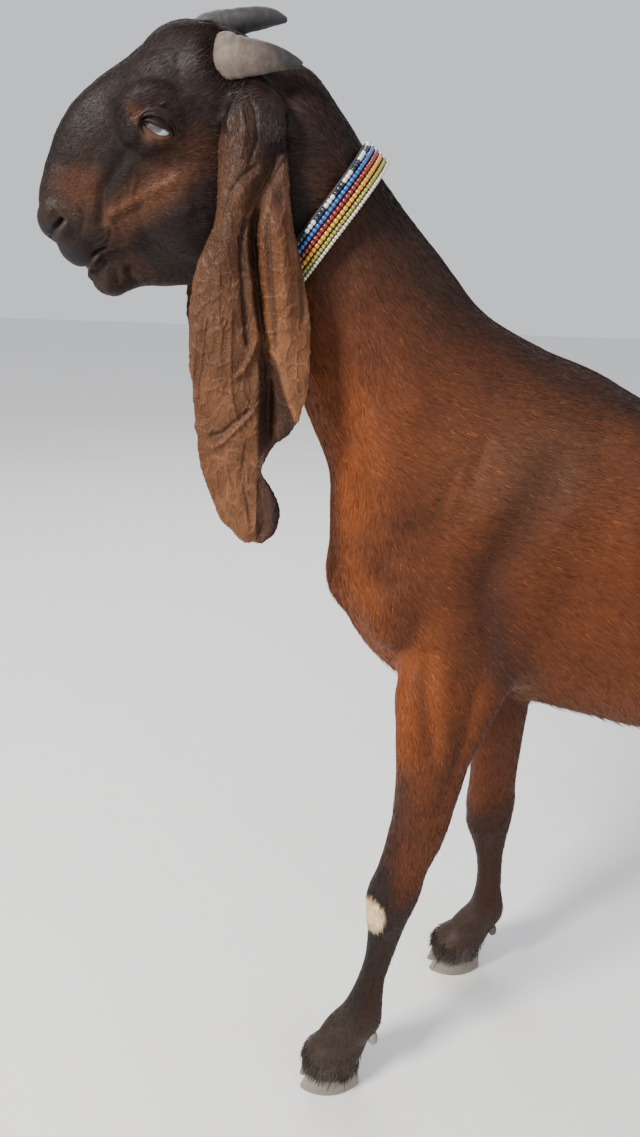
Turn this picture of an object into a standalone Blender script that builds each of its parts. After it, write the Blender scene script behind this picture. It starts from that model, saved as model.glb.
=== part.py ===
"""A life-size still model of a standing beetal goat, head raised, near foreleg forward.

Metres, +Z up. The goat faces -X, its left side is towards -Y. It is modelled with x = 0 at the
withers, then moved so that the origin is the bottom centre of its box.
"""
import math

import bmesh
import bpy
import numpy as np
from mathutils import Matrix, Vector
from mathutils.bvhtree import BVHTree

GAP = 0.0003
HEAD_CENTRE = (-0.446, -0.010, 1.184)
HEAD_YAW = math.radians(-4.0)
HEAD_PITCH = math.radians(42.0)
HEAD_ROLL = math.radians(17.0)

# The eye and the slanting opening of its lids, in the head's frame
EYE_RADIUS = 0.0145
EYE_SEGMENTS = 14
EYE_CENTRE = (0.001, 0.0468, 0.009)
LID_TILT = math.radians(-65.0)
LID_HALF_LENGTH = 0.0136
LID_RISE = 0.0088
LID_DROP = 0.0068

EAR_THICKNESS = 0.0042
EAR_VOXEL = 0.0016
HORN_SIDES = 14

# The collar: its ends on the crest and on the throat (x, z), and its strap
COLLAR_TOP = (-0.2385, 1.1580)
COLLAR_BOTTOM = (-0.3420, 1.0190)
COLLAR_MIDDLE_Y = -0.002
COLLAR_LEVELS = (-0.016, -0.008, 0.0, 0.008, 0.016)
COLLAR_EASE = -0.0015
COLLAR_WIDTH = 0.032
COLLAR_THICKNESS = 0.0050
COLLAR_SEGMENTS = 26
BEAD_SIDES = 5

HOOF_HEIGHT = 0.032
HEEL_HEIGHT = 0.024
CLAW_WIDTH = 0.0285
CLAW_GAP = 0.0020
DEWCLAW_SPREAD = 0.0125
DEWCLAW_LENGTH = 0.022
DEWCLAW_TILT = math.radians(118.0)
TAIL_LOCKS = 8
TAIL_SEED = 7

BODY_VOXEL = 0.0045
HEAD_VOXEL = 0.0022
MARGIN = 0.012
NECK_STATIONS = 10
LEG_TOP = 0.40
LEG_FADE = 0.25

HEAD_TRIANGLES = 2500
NECK_TRIANGLES = 560
TORSO_TRIANGLES = 1450
LEG_TRIANGLES = 580
EAR_TRIANGLES = 1000

# Station of a flattened form: outline point above, outline point below (x, z each), y of the middle,
# half width, and how much wider it is at its lower edge than at its upper edge.
TRUNK_STATIONS = (
    ((0.668, 0.800), (0.655, 0.735), 0.0, 0.030, 0.0),
    ((0.650, 0.842), (0.632, 0.665), 0.0, 0.072, 0.0),
    ((0.595, 0.882), (0.570, 0.600), 0.0, 0.106, 0.0),
    ((0.500, 0.906), (0.470, 0.560), 0.0, 0.124, 0.02),
    ((0.395, 0.902), (0.365, 0.536), 0.0, 0.136, 0.06),
    ((0.290, 0.893), (0.265, 0.517), 0.0, 0.147, 0.06),
    ((0.185, 0.897), (0.160, 0.512), 0.0, 0.146, 0.02),
    ((0.095, 0.922), (0.065, 0.528), 0.0, 0.132, -0.04),
    ((0.025, 0.955), (-0.025, 0.545), 0.0, 0.113, -0.06),
    ((-0.030, 0.975), (-0.125, 0.553), 0.0, 0.104, -0.04),
    ((-0.072, 0.995), (-0.200, 0.600), 0.0, 0.100, 0.02),
    ((-0.102, 1.013), (-0.247, 0.675), 0.0, 0.094, 0.05),
    ((-0.126, 1.037), (-0.262, 0.755), 0.0, 0.084, 0.08),
    ((-0.150, 1.065), (-0.266, 0.828), 0.0, 0.075, 0.10),
    ((-0.183, 1.100), (-0.292, 0.892), 0.0, 0.068, 0.10),
    ((-0.215, 1.137), (-0.318, 0.952), 0.0, 0.062, 0.08),
    ((-0.242, 1.168), (-0.340, 1.003), 0.0, 0.059, 0.05),
    ((-0.268, 1.202), (-0.360, 1.047), -0.004, 0.057, 0.0),
    ((-0.296, 1.234), (-0.382, 1.085), -0.008, 0.050, 0.0),
    ((-0.322, 1.248), (-0.400, 1.125), -0.010, 0.036, 0.0),
)

# The same kind of station down each leg, with the front and the back outline points.
NEAR_FORELEG = (
    ((-0.165, 0.650), (-0.020, 0.650), -0.066, 0.030, 0.0),
    ((-0.184, 0.590), (-0.038, 0.600), -0.074, 0.036, 0.0),
    ((-0.181, 0.545), (-0.062, 0.550), -0.082, 0.036, 0.0),
    ((-0.178, 0.505), (-0.084, 0.507), -0.088, 0.034, 0.0),
    ((-0.175, 0.460), (-0.095, 0.462), -0.091, 0.031, 0.0),
    ((-0.177, 0.420), (-0.102, 0.422), -0.094, 0.028, 0.0),
    ((-0.183, 0.380), (-0.112, 0.383), -0.097, 0.0255, 0.0),
    ((-0.192, 0.342), (-0.127, 0.348), -0.100, 0.0245, 0.0),
    ((-0.201, 0.312), (-0.134, 0.320), -0.101, 0.0255, 0.0),
    ((-0.203, 0.284), (-0.141, 0.290), -0.102, 0.0245, 0.0),
    ((-0.198, 0.252), (-0.151, 0.256), -0.103, 0.0195, 0.0),
    ((-0.199, 0.210), (-0.161, 0.213), -0.104, 0.0160, 0.0),
    ((-0.208, 0.168), (-0.169, 0.173), -0.105, 0.0165, 0.0),
    ((-0.224, 0.124), (-0.169, 0.128), -0.106, 0.0230, 0.0),
    ((-0.247, 0.094), (-0.168, 0.096), -0.107, 0.0270, 0.0),
    ((-0.264, 0.066), (-0.173, 0.064), -0.108, 0.0300, 0.0),
    ((-0.270, 0.040), (-0.181, 0.036), -0.108, 0.0310, 0.0),
    ((-0.268, 0.014), (-0.186, 0.010), -0.108, 0.0290, 0.0),
)

FAR_FORELEG = (
    ((-0.135, 0.650), (0.040, 0.650), 0.064, 0.030, 0.0),
    ((-0.115, 0.590), (0.048, 0.600), 0.072, 0.036, 0.0),
    ((-0.085, 0.545), (0.042, 0.550), 0.080, 0.036, 0.0),
    ((-0.062, 0.505), (0.036, 0.507), 0.084, 0.034, 0.0),
    ((-0.048, 0.460), (0.033, 0.462), 0.087, 0.031, 0.0),
    ((-0.041, 0.420), (0.032, 0.420), 0.089, 0.028, 0.0),
    ((-0.038, 0.380), (0.032, 0.380), 0.091, 0.0255, 0.0),
    ((-0.037, 0.342), (0.032, 0.342), 0.092, 0.0245, 0.0),
    ((-0.037, 0.305), (0.033, 0.310), 0.093, 0.0255, 0.0),
    ((-0.033, 0.270), (0.033, 0.275), 0.093, 0.0245, 0.0),
    ((-0.020, 0.238), (0.030, 0.240), 0.094, 0.0195, 0.0),
    ((-0.010, 0.200), (0.030, 0.200), 0.095, 0.0165, 0.0),
    ((-0.007, 0.155), (0.034, 0.155), 0.096, 0.0165, 0.0),
    ((-0.014, 0.112), (0.042, 0.115), 0.097, 0.0230, 0.0),
    ((-0.036, 0.084), (0.044, 0.086), 0.098, 0.0270, 0.0),
    ((-0.053, 0.060), (0.037, 0.060), 0.099, 0.0300, 0.0),
    ((-0.060, 0.040), (0.028, 0.036), 0.100, 0.0310, 0.0),
    ((-0.058, 0.014), (0.022, 0.010), 0.100, 0.0290, 0.0),
)

HINDLEG = (
    ((0.425, 0.800), (0.640, 0.780), 0.066, 0.040, 0.0),
    ((0.395, 0.730), (0.655, 0.720), 0.076, 0.050, 0.0),
    ((0.378, 0.665), (0.646, 0.660), 0.082, 0.053, 0.0),
    ((0.372, 0.605), (0.620, 0.612), 0.086, 0.050, 0.0),
    ((0.386, 0.552), (0.596, 0.568), 0.089, 0.044, 0.0),
    ((0.424, 0.498), (0.586, 0.528), 0.090, 0.037, 0.0),
    ((0.470, 0.444), (0.596, 0.482), 0.091, 0.030, 0.0),
    ((0.520, 0.396), (0.620, 0.436), 0.092, 0.0240, 0.0),
    ((0.563, 0.350), (0.652, 0.390), 0.093, 0.0230, 0.0),
    ((0.588, 0.308), (0.662, 0.345), 0.094, 0.0240, 0.0),
    ((0.600, 0.265), (0.650, 0.285), 0.094, 0.0205, 0.0),
    ((0.604, 0.220), (0.642, 0.230), 0.095, 0.0165, 0.0),
    ((0.602, 0.165), (0.642, 0.170), 0.096, 0.0165, 0.0),
    ((0.594, 0.120), (0.648, 0.125), 0.097, 0.0225, 0.0),
    ((0.574, 0.090), (0.649, 0.094), 0.098, 0.0265, 0.0),
    ((0.560, 0.064), (0.645, 0.062), 0.099, 0.0290, 0.0),
    ((0.555, 0.040), (0.636, 0.036), 0.100, 0.0300, 0.0),
    ((0.557, 0.014), (0.632, 0.010), 0.100, 0.0280, 0.0),
)
NEAR_HIND_SHIFT = 0.030
FAR_HIND_SHIFT = -0.045

# Stations of the skull and muzzle in the head's own frame: (forward, up) above and below.
SKULL_STATIONS = (
    ((-0.122, -0.012), (-0.122, -0.070), 0.0, 0.026, 0.0),
    ((-0.103, 0.026), (-0.108, -0.098), 0.0, 0.043, 0.0),
    ((-0.073, 0.051), (-0.080, -0.110), 0.0, 0.051, -0.04),
    ((-0.040, 0.061), (-0.045, -0.108), 0.0, 0.053, -0.06),
    ((-0.008, 0.065), (-0.010, -0.104), 0.0, 0.053, -0.06),
    ((0.022, 0.069), (0.022, -0.100), 0.0, 0.048, 0.02),
    ((0.048, 0.069), (0.050, -0.094), 0.0, 0.043, 0.08),
    ((0.074, 0.064), (0.078, -0.086), 0.0, 0.039, 0.10),
    ((0.100, 0.055), (0.103, -0.074), 0.0, 0.035, 0.10),
    ((0.123, 0.044), (0.124, -0.060), 0.0, 0.032, 0.06),
    ((0.141, 0.033), (0.141, -0.052), 0.0, 0.028, 0.0),
    ((0.153, 0.019), (0.154, -0.046), 0.0, 0.022, 0.0),
    ((0.160, 0.002), (0.161, -0.038), 0.0, 0.012, 0.0),
)

JAW_STATIONS = (
    ((-0.050, -0.050), (-0.045, -0.120), 0.0, 0.036, 0.0),
    ((-0.015, -0.050), (-0.005, -0.148), 0.0, 0.043, 0.0),
    ((0.025, -0.050), (0.035, -0.154), 0.0, 0.041, 0.0),
    ((0.058, -0.050), (0.070, -0.146), 0.0, 0.036, 0.0),
    ((0.088, -0.045), (0.099, -0.127), 0.0, 0.030, 0.0),
    ((0.114, -0.045), (0.123, -0.106), 0.0, 0.025, 0.0),
    ((0.137, -0.045), (0.143, -0.094), 0.0, 0.023, 0.0),
    ((0.153, -0.048), (0.158, -0.086), 0.0, 0.018, 0.0),
    ((0.163, -0.053), (0.166, -0.078), 0.0, 0.008, 0.0),
)

# Rounded masses in the head's frame: (forward, out from the middle, up), and radii in that order
HEAD_MASSES = (
    ((-0.045, 0.000, 0.022), (0.050, 0.046, 0.042)),
    ((-0.001, 0.040, 0.015), (0.039, 0.0245, 0.032)),
    ((0.020, 0.030, -0.070), (0.062, 0.028, 0.066)),
    ((-0.066, 0.034, 0.000), (0.040, 0.026, 0.040)),
    ((0.136, 0.0155, 0.004), (0.026, 0.0170, 0.026)),
    ((0.142, 0.0140, -0.026), (0.023, 0.0170, 0.026)),
    ((0.146, 0.0000, -0.072), (0.021, 0.0210, 0.019)),
    ((-0.080, 0.0300, 0.018), (0.022, 0.0180, 0.018)),
    ((-0.080, 0.0440, -0.036), (0.026, 0.0160, 0.024)),
)

# Rounded masses of the body: centre, radii, tilt in the side view in degrees.
BODY_MASSES = (
    ((-0.100, -0.070, 0.780), (0.062, 0.038, 0.150), 22.0),
    ((-0.090, -0.072, 0.655), (0.085, 0.038, 0.072), 35.0),
    ((-0.188, -0.066, 0.690), (0.040, 0.036, 0.055), 0.0),
    ((-0.080, 0.070, 0.780), (0.062, 0.038, 0.150), 20.0),
    ((-0.055, 0.072, 0.655), (0.085, 0.038, 0.072), 35.0),
    ((-0.160, 0.066, 0.690), (0.044, 0.036, 0.055), 0.0),
    ((0.520, -0.062, 0.750), (0.120, 0.060, 0.120), 0.0),
    ((0.500, 0.062, 0.750), (0.120, 0.060, 0.120), 0.0),
    ((0.455, -0.070, 0.848), (0.060, 0.040, 0.036), 0.0),
    ((0.455, 0.070, 0.848), (0.060, 0.040, 0.036), 0.0),
    ((-0.232, 0.0, 0.712), (0.034, 0.048, 0.055), 0.0),
)

# Middle of the horn in the head's frame, half its depth and half its thickness; the far one lies higher
HORN_STATIONS = (
    ((-0.068, 0.0270, 0.0220), 0.0250, 0.0160),
    ((-0.085, 0.0300, 0.0205), 0.0255, 0.0160),
    ((-0.102, 0.0340, 0.0112), 0.0235, 0.0140),
    ((-0.118, 0.0372, 0.0005), 0.0205, 0.0115),
    ((-0.133, 0.0400, -0.0120), 0.0155, 0.0090),
    ((-0.1435, 0.0425, -0.0225), 0.0090, 0.0060),
    ((-0.1480, 0.0435, -0.0275), 0.0035, 0.0030),
)
HORN_UNEVEN = 0.0100

# The hanging ear seen from its side: drop below the root, front edge, back edge, and where the
# rolled ridge runs, all as distances in metres from the root.
EAR_ROWS = (
    (0.000, -0.030, 0.028, 0.012),
    (0.022, -0.031, 0.029, 0.014),
    (0.050, -0.031, 0.031, 0.010),
    (0.080, -0.034, 0.034, -0.004),
    (0.108, -0.040, 0.038, -0.008),
    (0.135, -0.053, 0.045, -0.006),
    (0.160, -0.060, 0.051, -0.003),
    (0.190, -0.064, 0.056, 0.001),
    (0.220, -0.064, 0.058, 0.005),
    (0.250, -0.062, 0.057, 0.008),
    (0.278, -0.060, 0.052, 0.008),
    (0.300, -0.058, 0.044, 0.008),
    (0.318, -0.056, 0.026, 0.010),
    (0.332, -0.054, 0.014, 0.010),
    (0.346, -0.051, 0.011, 0.009),
    (0.362, -0.046, 0.022, 0.012),
    (0.380, -0.039, 0.030, 0.015),
    (0.398, -0.030, 0.030, 0.015),
    (0.412, -0.018, 0.023, 0.010),
    (0.420, -0.006, 0.012, 0.006),
)
EAR_COLUMNS = 15
EAR_ROOT = (-0.083, 0.060, -0.036)
EAR_PLANE_OUT = 0.030

TAIL_STATIONS = (
    ((0.600, 0.888), (0.612, 0.840), 0.0, 0.026, 0.0),
    ((0.640, 0.878), (0.632, 0.835), 0.0, 0.024, 0.0),
    ((0.672, 0.852), (0.655, 0.822), 0.0, 0.020, 0.0),
    ((0.692, 0.815), (0.672, 0.796), 0.0, 0.016, 0.0),
    ((0.700, 0.775), (0.684, 0.768), 0.0, 0.011, 0.0),
    ((0.702, 0.745), (0.692, 0.742), 0.0, 0.006, 0.0),
)


def head_matrix():
    """The head's frame: x towards the nose, y to the goat's right, z out of the forehead."""
    cp = math.cos(HEAD_PITCH)
    forward = Vector((-cp * math.cos(HEAD_YAW), -cp * math.sin(HEAD_YAW), -math.sin(HEAD_PITCH)))
    right = forward.cross(Vector((0, 0, 1))).normalized()
    up = right.cross(forward)
    side = right * math.cos(HEAD_ROLL) + up * math.sin(HEAD_ROLL)
    dorsal = up * math.cos(HEAD_ROLL) - right * math.sin(HEAD_ROLL)
    rows = Matrix((forward, side, dorsal)).transposed()
    return Matrix.Translation(Vector(HEAD_CENTRE)) @ rows.to_4x4()


HEAD = head_matrix()


def clear_scene():
    for ob in list(bpy.data.objects):
        bpy.data.objects.remove(ob, do_unlink=True)


def new_collection(name):
    collection = bpy.data.collections.new(name)
    bpy.context.scene.collection.children.link(collection)
    return collection


def new_material(name, colour, roughness, metallic=0.0):
    material = bpy.data.materials.new(name)
    material.use_nodes = True
    shader = material.node_tree.nodes["Principled BSDF"]
    shader.inputs["Base Color"].default_value = (*colour, 1.0)
    shader.inputs["Roughness"].default_value = roughness
    shader.inputs["Metallic"].default_value = metallic
    return material


def new_object(name, mesh, collection):
    ob = bpy.data.objects.new(name, mesh)
    collection.objects.link(ob)
    return ob


def object_from_bmesh(name, bm, collection):
    bmesh.ops.recalc_face_normals(bm, faces=bm.faces)
    mesh = bpy.data.meshes.new(name)
    bm.to_mesh(mesh)
    bm.free()
    return new_object(name, mesh, collection)


def settle(ob):
    """Replaces an object's mesh by what its modifiers make of it."""
    depsgraph = bpy.context.evaluated_depsgraph_get()
    mesh = bpy.data.meshes.new_from_object(ob.evaluated_get(depsgraph))
    ob.modifiers.clear()
    old = ob.data
    ob.data = mesh
    bpy.data.meshes.remove(old)
    return ob


def smooth_path(values, steps):
    """Points of a Catmull-Rom curve through the rows of an array, its end rows included."""
    rows = np.array(values, dtype=float)
    padded = np.vstack([2 * rows[0] - rows[1], rows, 2 * rows[-1] - rows[-2]])
    out = []
    for i in range(1, len(padded) - 2):
        a, b, c, d = padded[i - 1:i + 3]
        for k in range(steps):
            t = k / steps
            out.append(0.5 * (2 * b + (c - a) * t + (2 * a - 5 * b + 4 * c - d) * t ** 2
                              + (3 * b - a - 3 * c + d) * t ** 3))
    out.append(rows[-1])
    return np.array(out)


def loft(rings):
    """A closed mesh through rings of equal length, with a fan over each end."""
    bm = bmesh.new()
    loops = [[bm.verts.new(p) for p in ring] for ring in rings]
    count = len(loops[0])
    for first, second in zip(loops, loops[1:]):
        for i in range(count):
            j = (i + 1) % count
            bm.faces.new((first[i], first[j], second[j], second[i]))
    for loop in (loops[0], loops[-1]):
        middle = bm.verts.new(sum((v.co for v in loop), Vector()) / count)
        for i in range(count):
            bm.faces.new((loop[i], loop[(i + 1) % count], middle))
    return bm


def slab(name, stations, collection, matrix=None, side=1.0, shift=0.0, points=28, steps=4, power=2.3):
    """A form lofted through flattened sections, each set by two outline points and a half width."""
    table = [(a[0] + shift, a[1], b[0] + shift, b[1], y * side, w, k) for a, b, y, w, k in stations]
    rings = []
    for ax, az, bx, bz, y, width, bulge in smooth_path(table, steps):
        ring = []
        for i in range(points):
            angle = 2 * math.pi * i / points
            s, c = math.sin(angle), math.cos(angle)
            along = math.copysign(abs(s) ** (2 / power), s)
            across = math.copysign(abs(c) ** (2 / power), c) * width * (1 - bulge * along / 0.5)
            mid = Vector(((ax + bx) / 2, y, (az + bz) / 2))
            half = Vector(((ax - bx) / 2, 0, (az - bz) / 2))
            point = mid + half * along + Vector((0, across, 0))
            ring.append(matrix @ point if matrix else point)
        rings.append(ring)
    return object_from_bmesh(name, loft(rings), collection)


def mass(name, centre, radii, collection, tilt=0.0, matrix=None):
    """An ellipsoid, tilted in the side view."""
    bm = bmesh.new()
    bmesh.ops.create_uvsphere(bm, u_segments=24, v_segments=16, radius=1.0)
    place = (Matrix.Translation(Vector(centre)) @ Matrix.Rotation(math.radians(tilt), 4, "Y")
             @ Matrix.Diagonal(Vector((*radii, 1.0))))
    bmesh.ops.transform(bm, matrix=(matrix @ place if matrix else place), verts=bm.verts)
    return object_from_bmesh(name, bm, collection)


def join(name, objects, collection):
    """One object that holds the meshes of several, which are removed."""
    bm = bmesh.new()
    for ob in objects:
        mesh = ob.data
        mesh.transform(ob.matrix_world)
        bm.from_mesh(mesh)
        bpy.data.objects.remove(ob, do_unlink=True)
    return object_from_bmesh(name, bm, collection)


def fuse(ob, voxel, rounds):
    """Fuses overlapping closed forms into one skin and softens their creases."""
    remesh = ob.modifiers.new("fuse", "REMESH")
    remesh.mode = "VOXEL"
    remesh.voxel_size = voxel
    remesh.adaptivity = 0.0
    settle(ob)
    upper = ob.vertex_groups.new(name="upper")
    for vertex in ob.data.vertices:
        weight = min(1.0, max(0.12, (vertex.co.z - LEG_TOP) / LEG_FADE))
        upper.add([vertex.index], weight, "REPLACE")
    soften = ob.modifiers.new("soften", "SMOOTH")
    soften.factor = 0.5
    soften.iterations = rounds
    soften.vertex_group = "upper"
    settle(ob)
    ob.vertex_groups.clear()
    return ob


def decimate(ob, triangles):
    ob.data.calc_loop_triangles()
    count = len(ob.data.loop_triangles)
    if count > triangles:
        thin = ob.modifiers.new("thin", "DECIMATE")
        thin.ratio = triangles / count
        thin.use_collapse_triangulate = True
        settle(ob)
    return ob


def region(name, planes, grow, collection):
    """A convex block bounded by planes, each (point, outward normal), moved outward by grow."""
    bm = bmesh.new()
    bmesh.ops.create_cube(bm, size=4.0)
    bmesh.ops.translate(bm, vec=Vector((0, 0, 0.6)), verts=bm.verts)
    for point, normal in planes:
        n = Vector(normal).normalized()
        geometry = bm.verts[:] + bm.edges[:] + bm.faces[:]
        bmesh.ops.bisect_plane(bm, geom=geometry, plane_co=Vector(point) + n * grow, plane_no=n,
                               clear_outer=True)
        rim = [e for e in bm.edges if e.is_boundary]
        bmesh.ops.holes_fill(bm, edges=rim, sides=0)
    block = object_from_bmesh(name, bm, collection)
    block.hide_render = True
    block.display_type = "WIRE"
    return block


def boolean(ob, cutter, operation):
    step = ob.modifiers.new("cut", "BOOLEAN")
    step.operation = operation
    step.object = cutter
    step.solver = "EXACT"
    return settle(ob)


def keep_largest(ob):
    """Leaves only the closed surface with the largest volume."""
    bm = bmesh.new()
    bm.from_mesh(ob.data)
    bm.faces.ensure_lookup_table()
    unseen = set(bm.faces)
    groups = []
    while unseen:
        stack = [unseen.pop()]
        group = []
        while stack:
            face = stack.pop()
            group.append(face)
            for edge in face.edges:
                for other in edge.link_faces:
                    if other in unseen:
                        unseen.remove(other)
                        stack.append(other)
        groups.append(group)
    if len(groups) > 1:
        size = [abs(sum(f.calc_center_median().dot(f.normal) * f.calc_area() for f in g)) for g in groups]
        best = size.index(max(size))
        for index, group in enumerate(groups):
            if index != best:
                bmesh.ops.delete(bm, geom=group, context="FACES")
        loose = [v for v in bm.verts if not v.link_faces]
        bmesh.ops.delete(bm, geom=loose, context="VERTS")
    bm.to_mesh(ob.data)
    bm.free()
    return ob


def copy_of(ob, name, collection):
    return new_object(name, ob.data.copy(), collection)


def cut_piece(source, name, inside, outside, triangles, collection, cutters):
    """The part of a form inside one block and outside others, thinned before its exact cuts."""
    piece = copy_of(source, name, collection)
    for grow, thin in ((MARGIN, True), (0.0, False)):
        if inside:
            boolean(piece, region(name + "_keep", inside, grow, cutters), "INTERSECT")
        for index, planes in enumerate(outside):
            block = region("%s_drop_%d" % (name, index), planes, GAP - grow, cutters)
            boolean(piece, block, "DIFFERENCE")
        keep_largest(piece)
        if thin:
            decimate(piece, triangles)
    return piece


def grown(ob, amount, collection, name):
    """A copy whose surface is moved out along its normals, to leave a thin gap when it cuts."""
    twin = copy_of(ob, name, collection)
    twin.hide_render = True
    twin.display_type = "WIRE"
    swell = twin.modifiers.new("swell", "DISPLACE")
    swell.strength = amount
    swell.mid_level = 0.0
    return settle(twin)


def head_point(forward, out, up, side):
    return HEAD @ Vector((forward, out * side, up))


def mirrored(values, side):
    return (values[0], values[1] * side, values[2])


def head_forms(collection):
    forms = [slab("skull", SKULL_STATIONS, collection, matrix=HEAD, power=2.5),
             slab("jaw", JAW_STATIONS, collection, matrix=HEAD, power=2.4)]
    for index, (centre, radii) in enumerate(HEAD_MASSES):
        for side in ((1,) if centre[1] == 0 else (-1, 1)):
            forms.append(mass("head_mass_%d" % index, mirrored(centre, side), radii, collection,
                              matrix=HEAD))
    return forms


def body_forms(collection):
    forms = [slab("trunk", TRUNK_STATIONS, collection, points=36),
             slab("near_foreleg", NEAR_FORELEG, collection),
             slab("far_foreleg", FAR_FORELEG, collection),
             slab("near_hindleg", HINDLEG, collection, side=-1, shift=NEAR_HIND_SHIFT),
             slab("far_hindleg", HINDLEG, collection, side=1, shift=FAR_HIND_SHIFT)]
    for index, (centre, radii, tilt) in enumerate(BODY_MASSES):
        forms.append(mass("body_mass_%d" % index, centre, radii, collection, tilt=tilt))
    return forms


def bump(distance, width):
    return np.exp(-(distance / width) ** 2)


def segment_distance(points, a, b):
    """Distance of each point from the straight piece a to b."""
    a, b = np.array(a), np.array(b)
    run = b - a
    t = np.clip(((points - a) @ run) / (run @ run), 0, 1)
    return np.linalg.norm(points - (a + t[:, None] * run), axis=1)


def line_distance(points, line):
    return np.min([segment_distance(points, a, b) for a, b in zip(line, line[1:])], axis=0)


# Lines in the head's frame, for one side, along which the head is sunk or raised
NOSTRIL_LINE = ((0.132, 0.0325, 0.008), (0.141, 0.0315, 0.004), (0.150, 0.0270, 0.000),
                (0.157, 0.0190, -0.004))
MOUTH_LINE = ((0.166, 0.0000, -0.048), (0.160, 0.0120, -0.047), (0.149, 0.0215, -0.045),
              (0.134, 0.0270, -0.045), (0.118, 0.0300, -0.045), (0.107, 0.0330, -0.042))
LIP_RIM = ((0.166, 0.0000, -0.056), (0.158, 0.0130, -0.055), (0.146, 0.0225, -0.052),
           (0.130, 0.0275, -0.051), (0.118, 0.0300, -0.050))
TEAR_LINE = ((0.018, 0.0560, 0.012), (0.045, 0.0450, 0.009), (0.080, 0.0370, -0.002))
UPPER_LID = ((0.007, 0.0630, 0.026), (-0.003, 0.0660, 0.024), (-0.010, 0.0660, 0.016),
             (-0.014, 0.0630, 0.005))
LOWER_LID = ((0.014, 0.0610, 0.015), (0.010, 0.0620, 0.006), (0.005, 0.0620, 0.000),
             (-0.002, 0.0610, -0.006))

# How far each line moves the surface, and the width over which the move fades
HEAD_CARVING = (
    (NOSTRIL_LINE, 0.0, -0.0085, 0.0034),
    (NOSTRIL_LINE, 0.0065, 0.0022, 0.0030),
    (MOUTH_LINE, 0.0, -0.0055, 0.0026),
    (LIP_RIM, 0.0, 0.0026, 0.0040),
    (TEAR_LINE, 0.0, -0.0022, 0.0075),
    (UPPER_LID, 0.0, 0.0022, 0.0040),
    (LOWER_LID, 0.0, 0.0018, 0.0034),
)


def sculpt_head(ob):
    """Sinks nostrils and mouth, and raises lips, lids and brow, along lines in the head's frame."""
    inverse = HEAD.inverted()
    count = len(ob.data.vertices)
    world = np.empty(count * 3)
    ob.data.vertices.foreach_get("co", world)
    world = world.reshape(-1, 3)
    normals = np.empty(count * 3)
    ob.data.vertex_normals.foreach_get("vector", normals)
    normals = normals.reshape(-1, 3)
    rotation = np.array(inverse.to_3x3())
    local = world @ rotation.T + np.array(inverse.translation)
    local[:, 1] = np.abs(local[:, 1])
    move = np.zeros(count)
    for line, offset, depth, width in HEAD_CARVING:
        move += depth * bump(line_distance(local, line) - offset, width)
    world += normals * move[:, None]
    ob.data.vertices.foreach_set("co", world.astype(np.float32).ravel())
    ob.data.update()
    return ob


EYE_OPENING_POINTS = 12
EYE_OPENING_DEPTHS = (0.048, 0.080)
LID_POINTEDNESS = 1.2


def eye_opening(side, collection):
    """A slanting almond block that opens the lids over one eye."""
    rings = []
    for out in EYE_OPENING_DEPTHS:
        ring = []
        for i in range(EYE_OPENING_POINTS):
            angle = 2 * math.pi * i / EYE_OPENING_POINTS
            along = LID_HALF_LENGTH * math.cos(angle)
            reach = LID_RISE if math.sin(angle) > 0 else -LID_DROP
            across = reach * abs(math.sin(angle)) ** LID_POINTEDNESS
            forward = along * math.cos(LID_TILT) + across * math.sin(LID_TILT)
            up = -along * math.sin(LID_TILT) + across * math.cos(LID_TILT)
            ring.append(head_point(EYE_CENTRE[0] + forward, out, EYE_CENTRE[2] + up, side))
        rings.append(ring)
    block = object_from_bmesh("lids_%d" % side, loft(rings), collection)
    block.hide_render = True
    block.display_type = "WIRE"
    return block


def ball(name, centre, radius, collection):
    bm = bmesh.new()
    bmesh.ops.create_uvsphere(bm, u_segments=EYE_SEGMENTS, v_segments=EYE_SEGMENTS // 2, radius=radius)
    bmesh.ops.translate(bm, vec=centre, verts=bm.verts)
    return object_from_bmesh(name, bm, collection)


def horn(name, side, collection):
    """A short flat horn swept back from the poll, its root sunk in the head."""
    table = [(*centre, deep, thick) for centre, deep, thick in HORN_STATIONS]
    path = smooth_path(table, 2)
    rings = []
    for i, (x, y, z, deep, thick) in enumerate(path):
        ahead = path[min(i + 1, len(path) - 1)][:3]
        behind = path[max(i - 1, 0)][:3]
        run = Vector(ahead - behind).normalized()
        out = (Vector((0, 1, 0)) - run * run.y).normalized()
        deep_axis = run.cross(out)
        ring = []
        for k in range(HORN_SIDES):
            angle = 2 * math.pi * k / HORN_SIDES
            point = Vector((x, y, z + HORN_UNEVEN * side))
            point += deep_axis * math.sin(angle) * deep
            point += out * math.cos(angle) * thick
            ring.append(head_point(*point, side))
        rings.append(ring)
    return object_from_bmesh(name, loft(rings), collection)


def ease(value, start, end):
    """0 before start, 1 after end, a straight ramp between."""
    return min(1.0, max(0.0, (value - start) / (end - start)))


# Depths and places of the ear's folds: the two panels, the rolled ridge with its groove, and the
# web that lies back between the front panel and the rear lobe, low on the ear
EAR_PANEL = 0.010
EAR_LOBE = 0.006
EAR_ROLL = 0.004
EAR_ROLL_PLACE = -0.002
EAR_ROLL_WIDTH = 0.005
EAR_GROOVE = 0.014
EAR_GROOVE_PLACE = 0.008
EAR_GROOVE_WIDTH = 0.008
EAR_WEB = 0.012
EAR_WEB_EDGE = 0.003
EAR_CURL = 0.010
EAR_LEAN = 0.012


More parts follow.
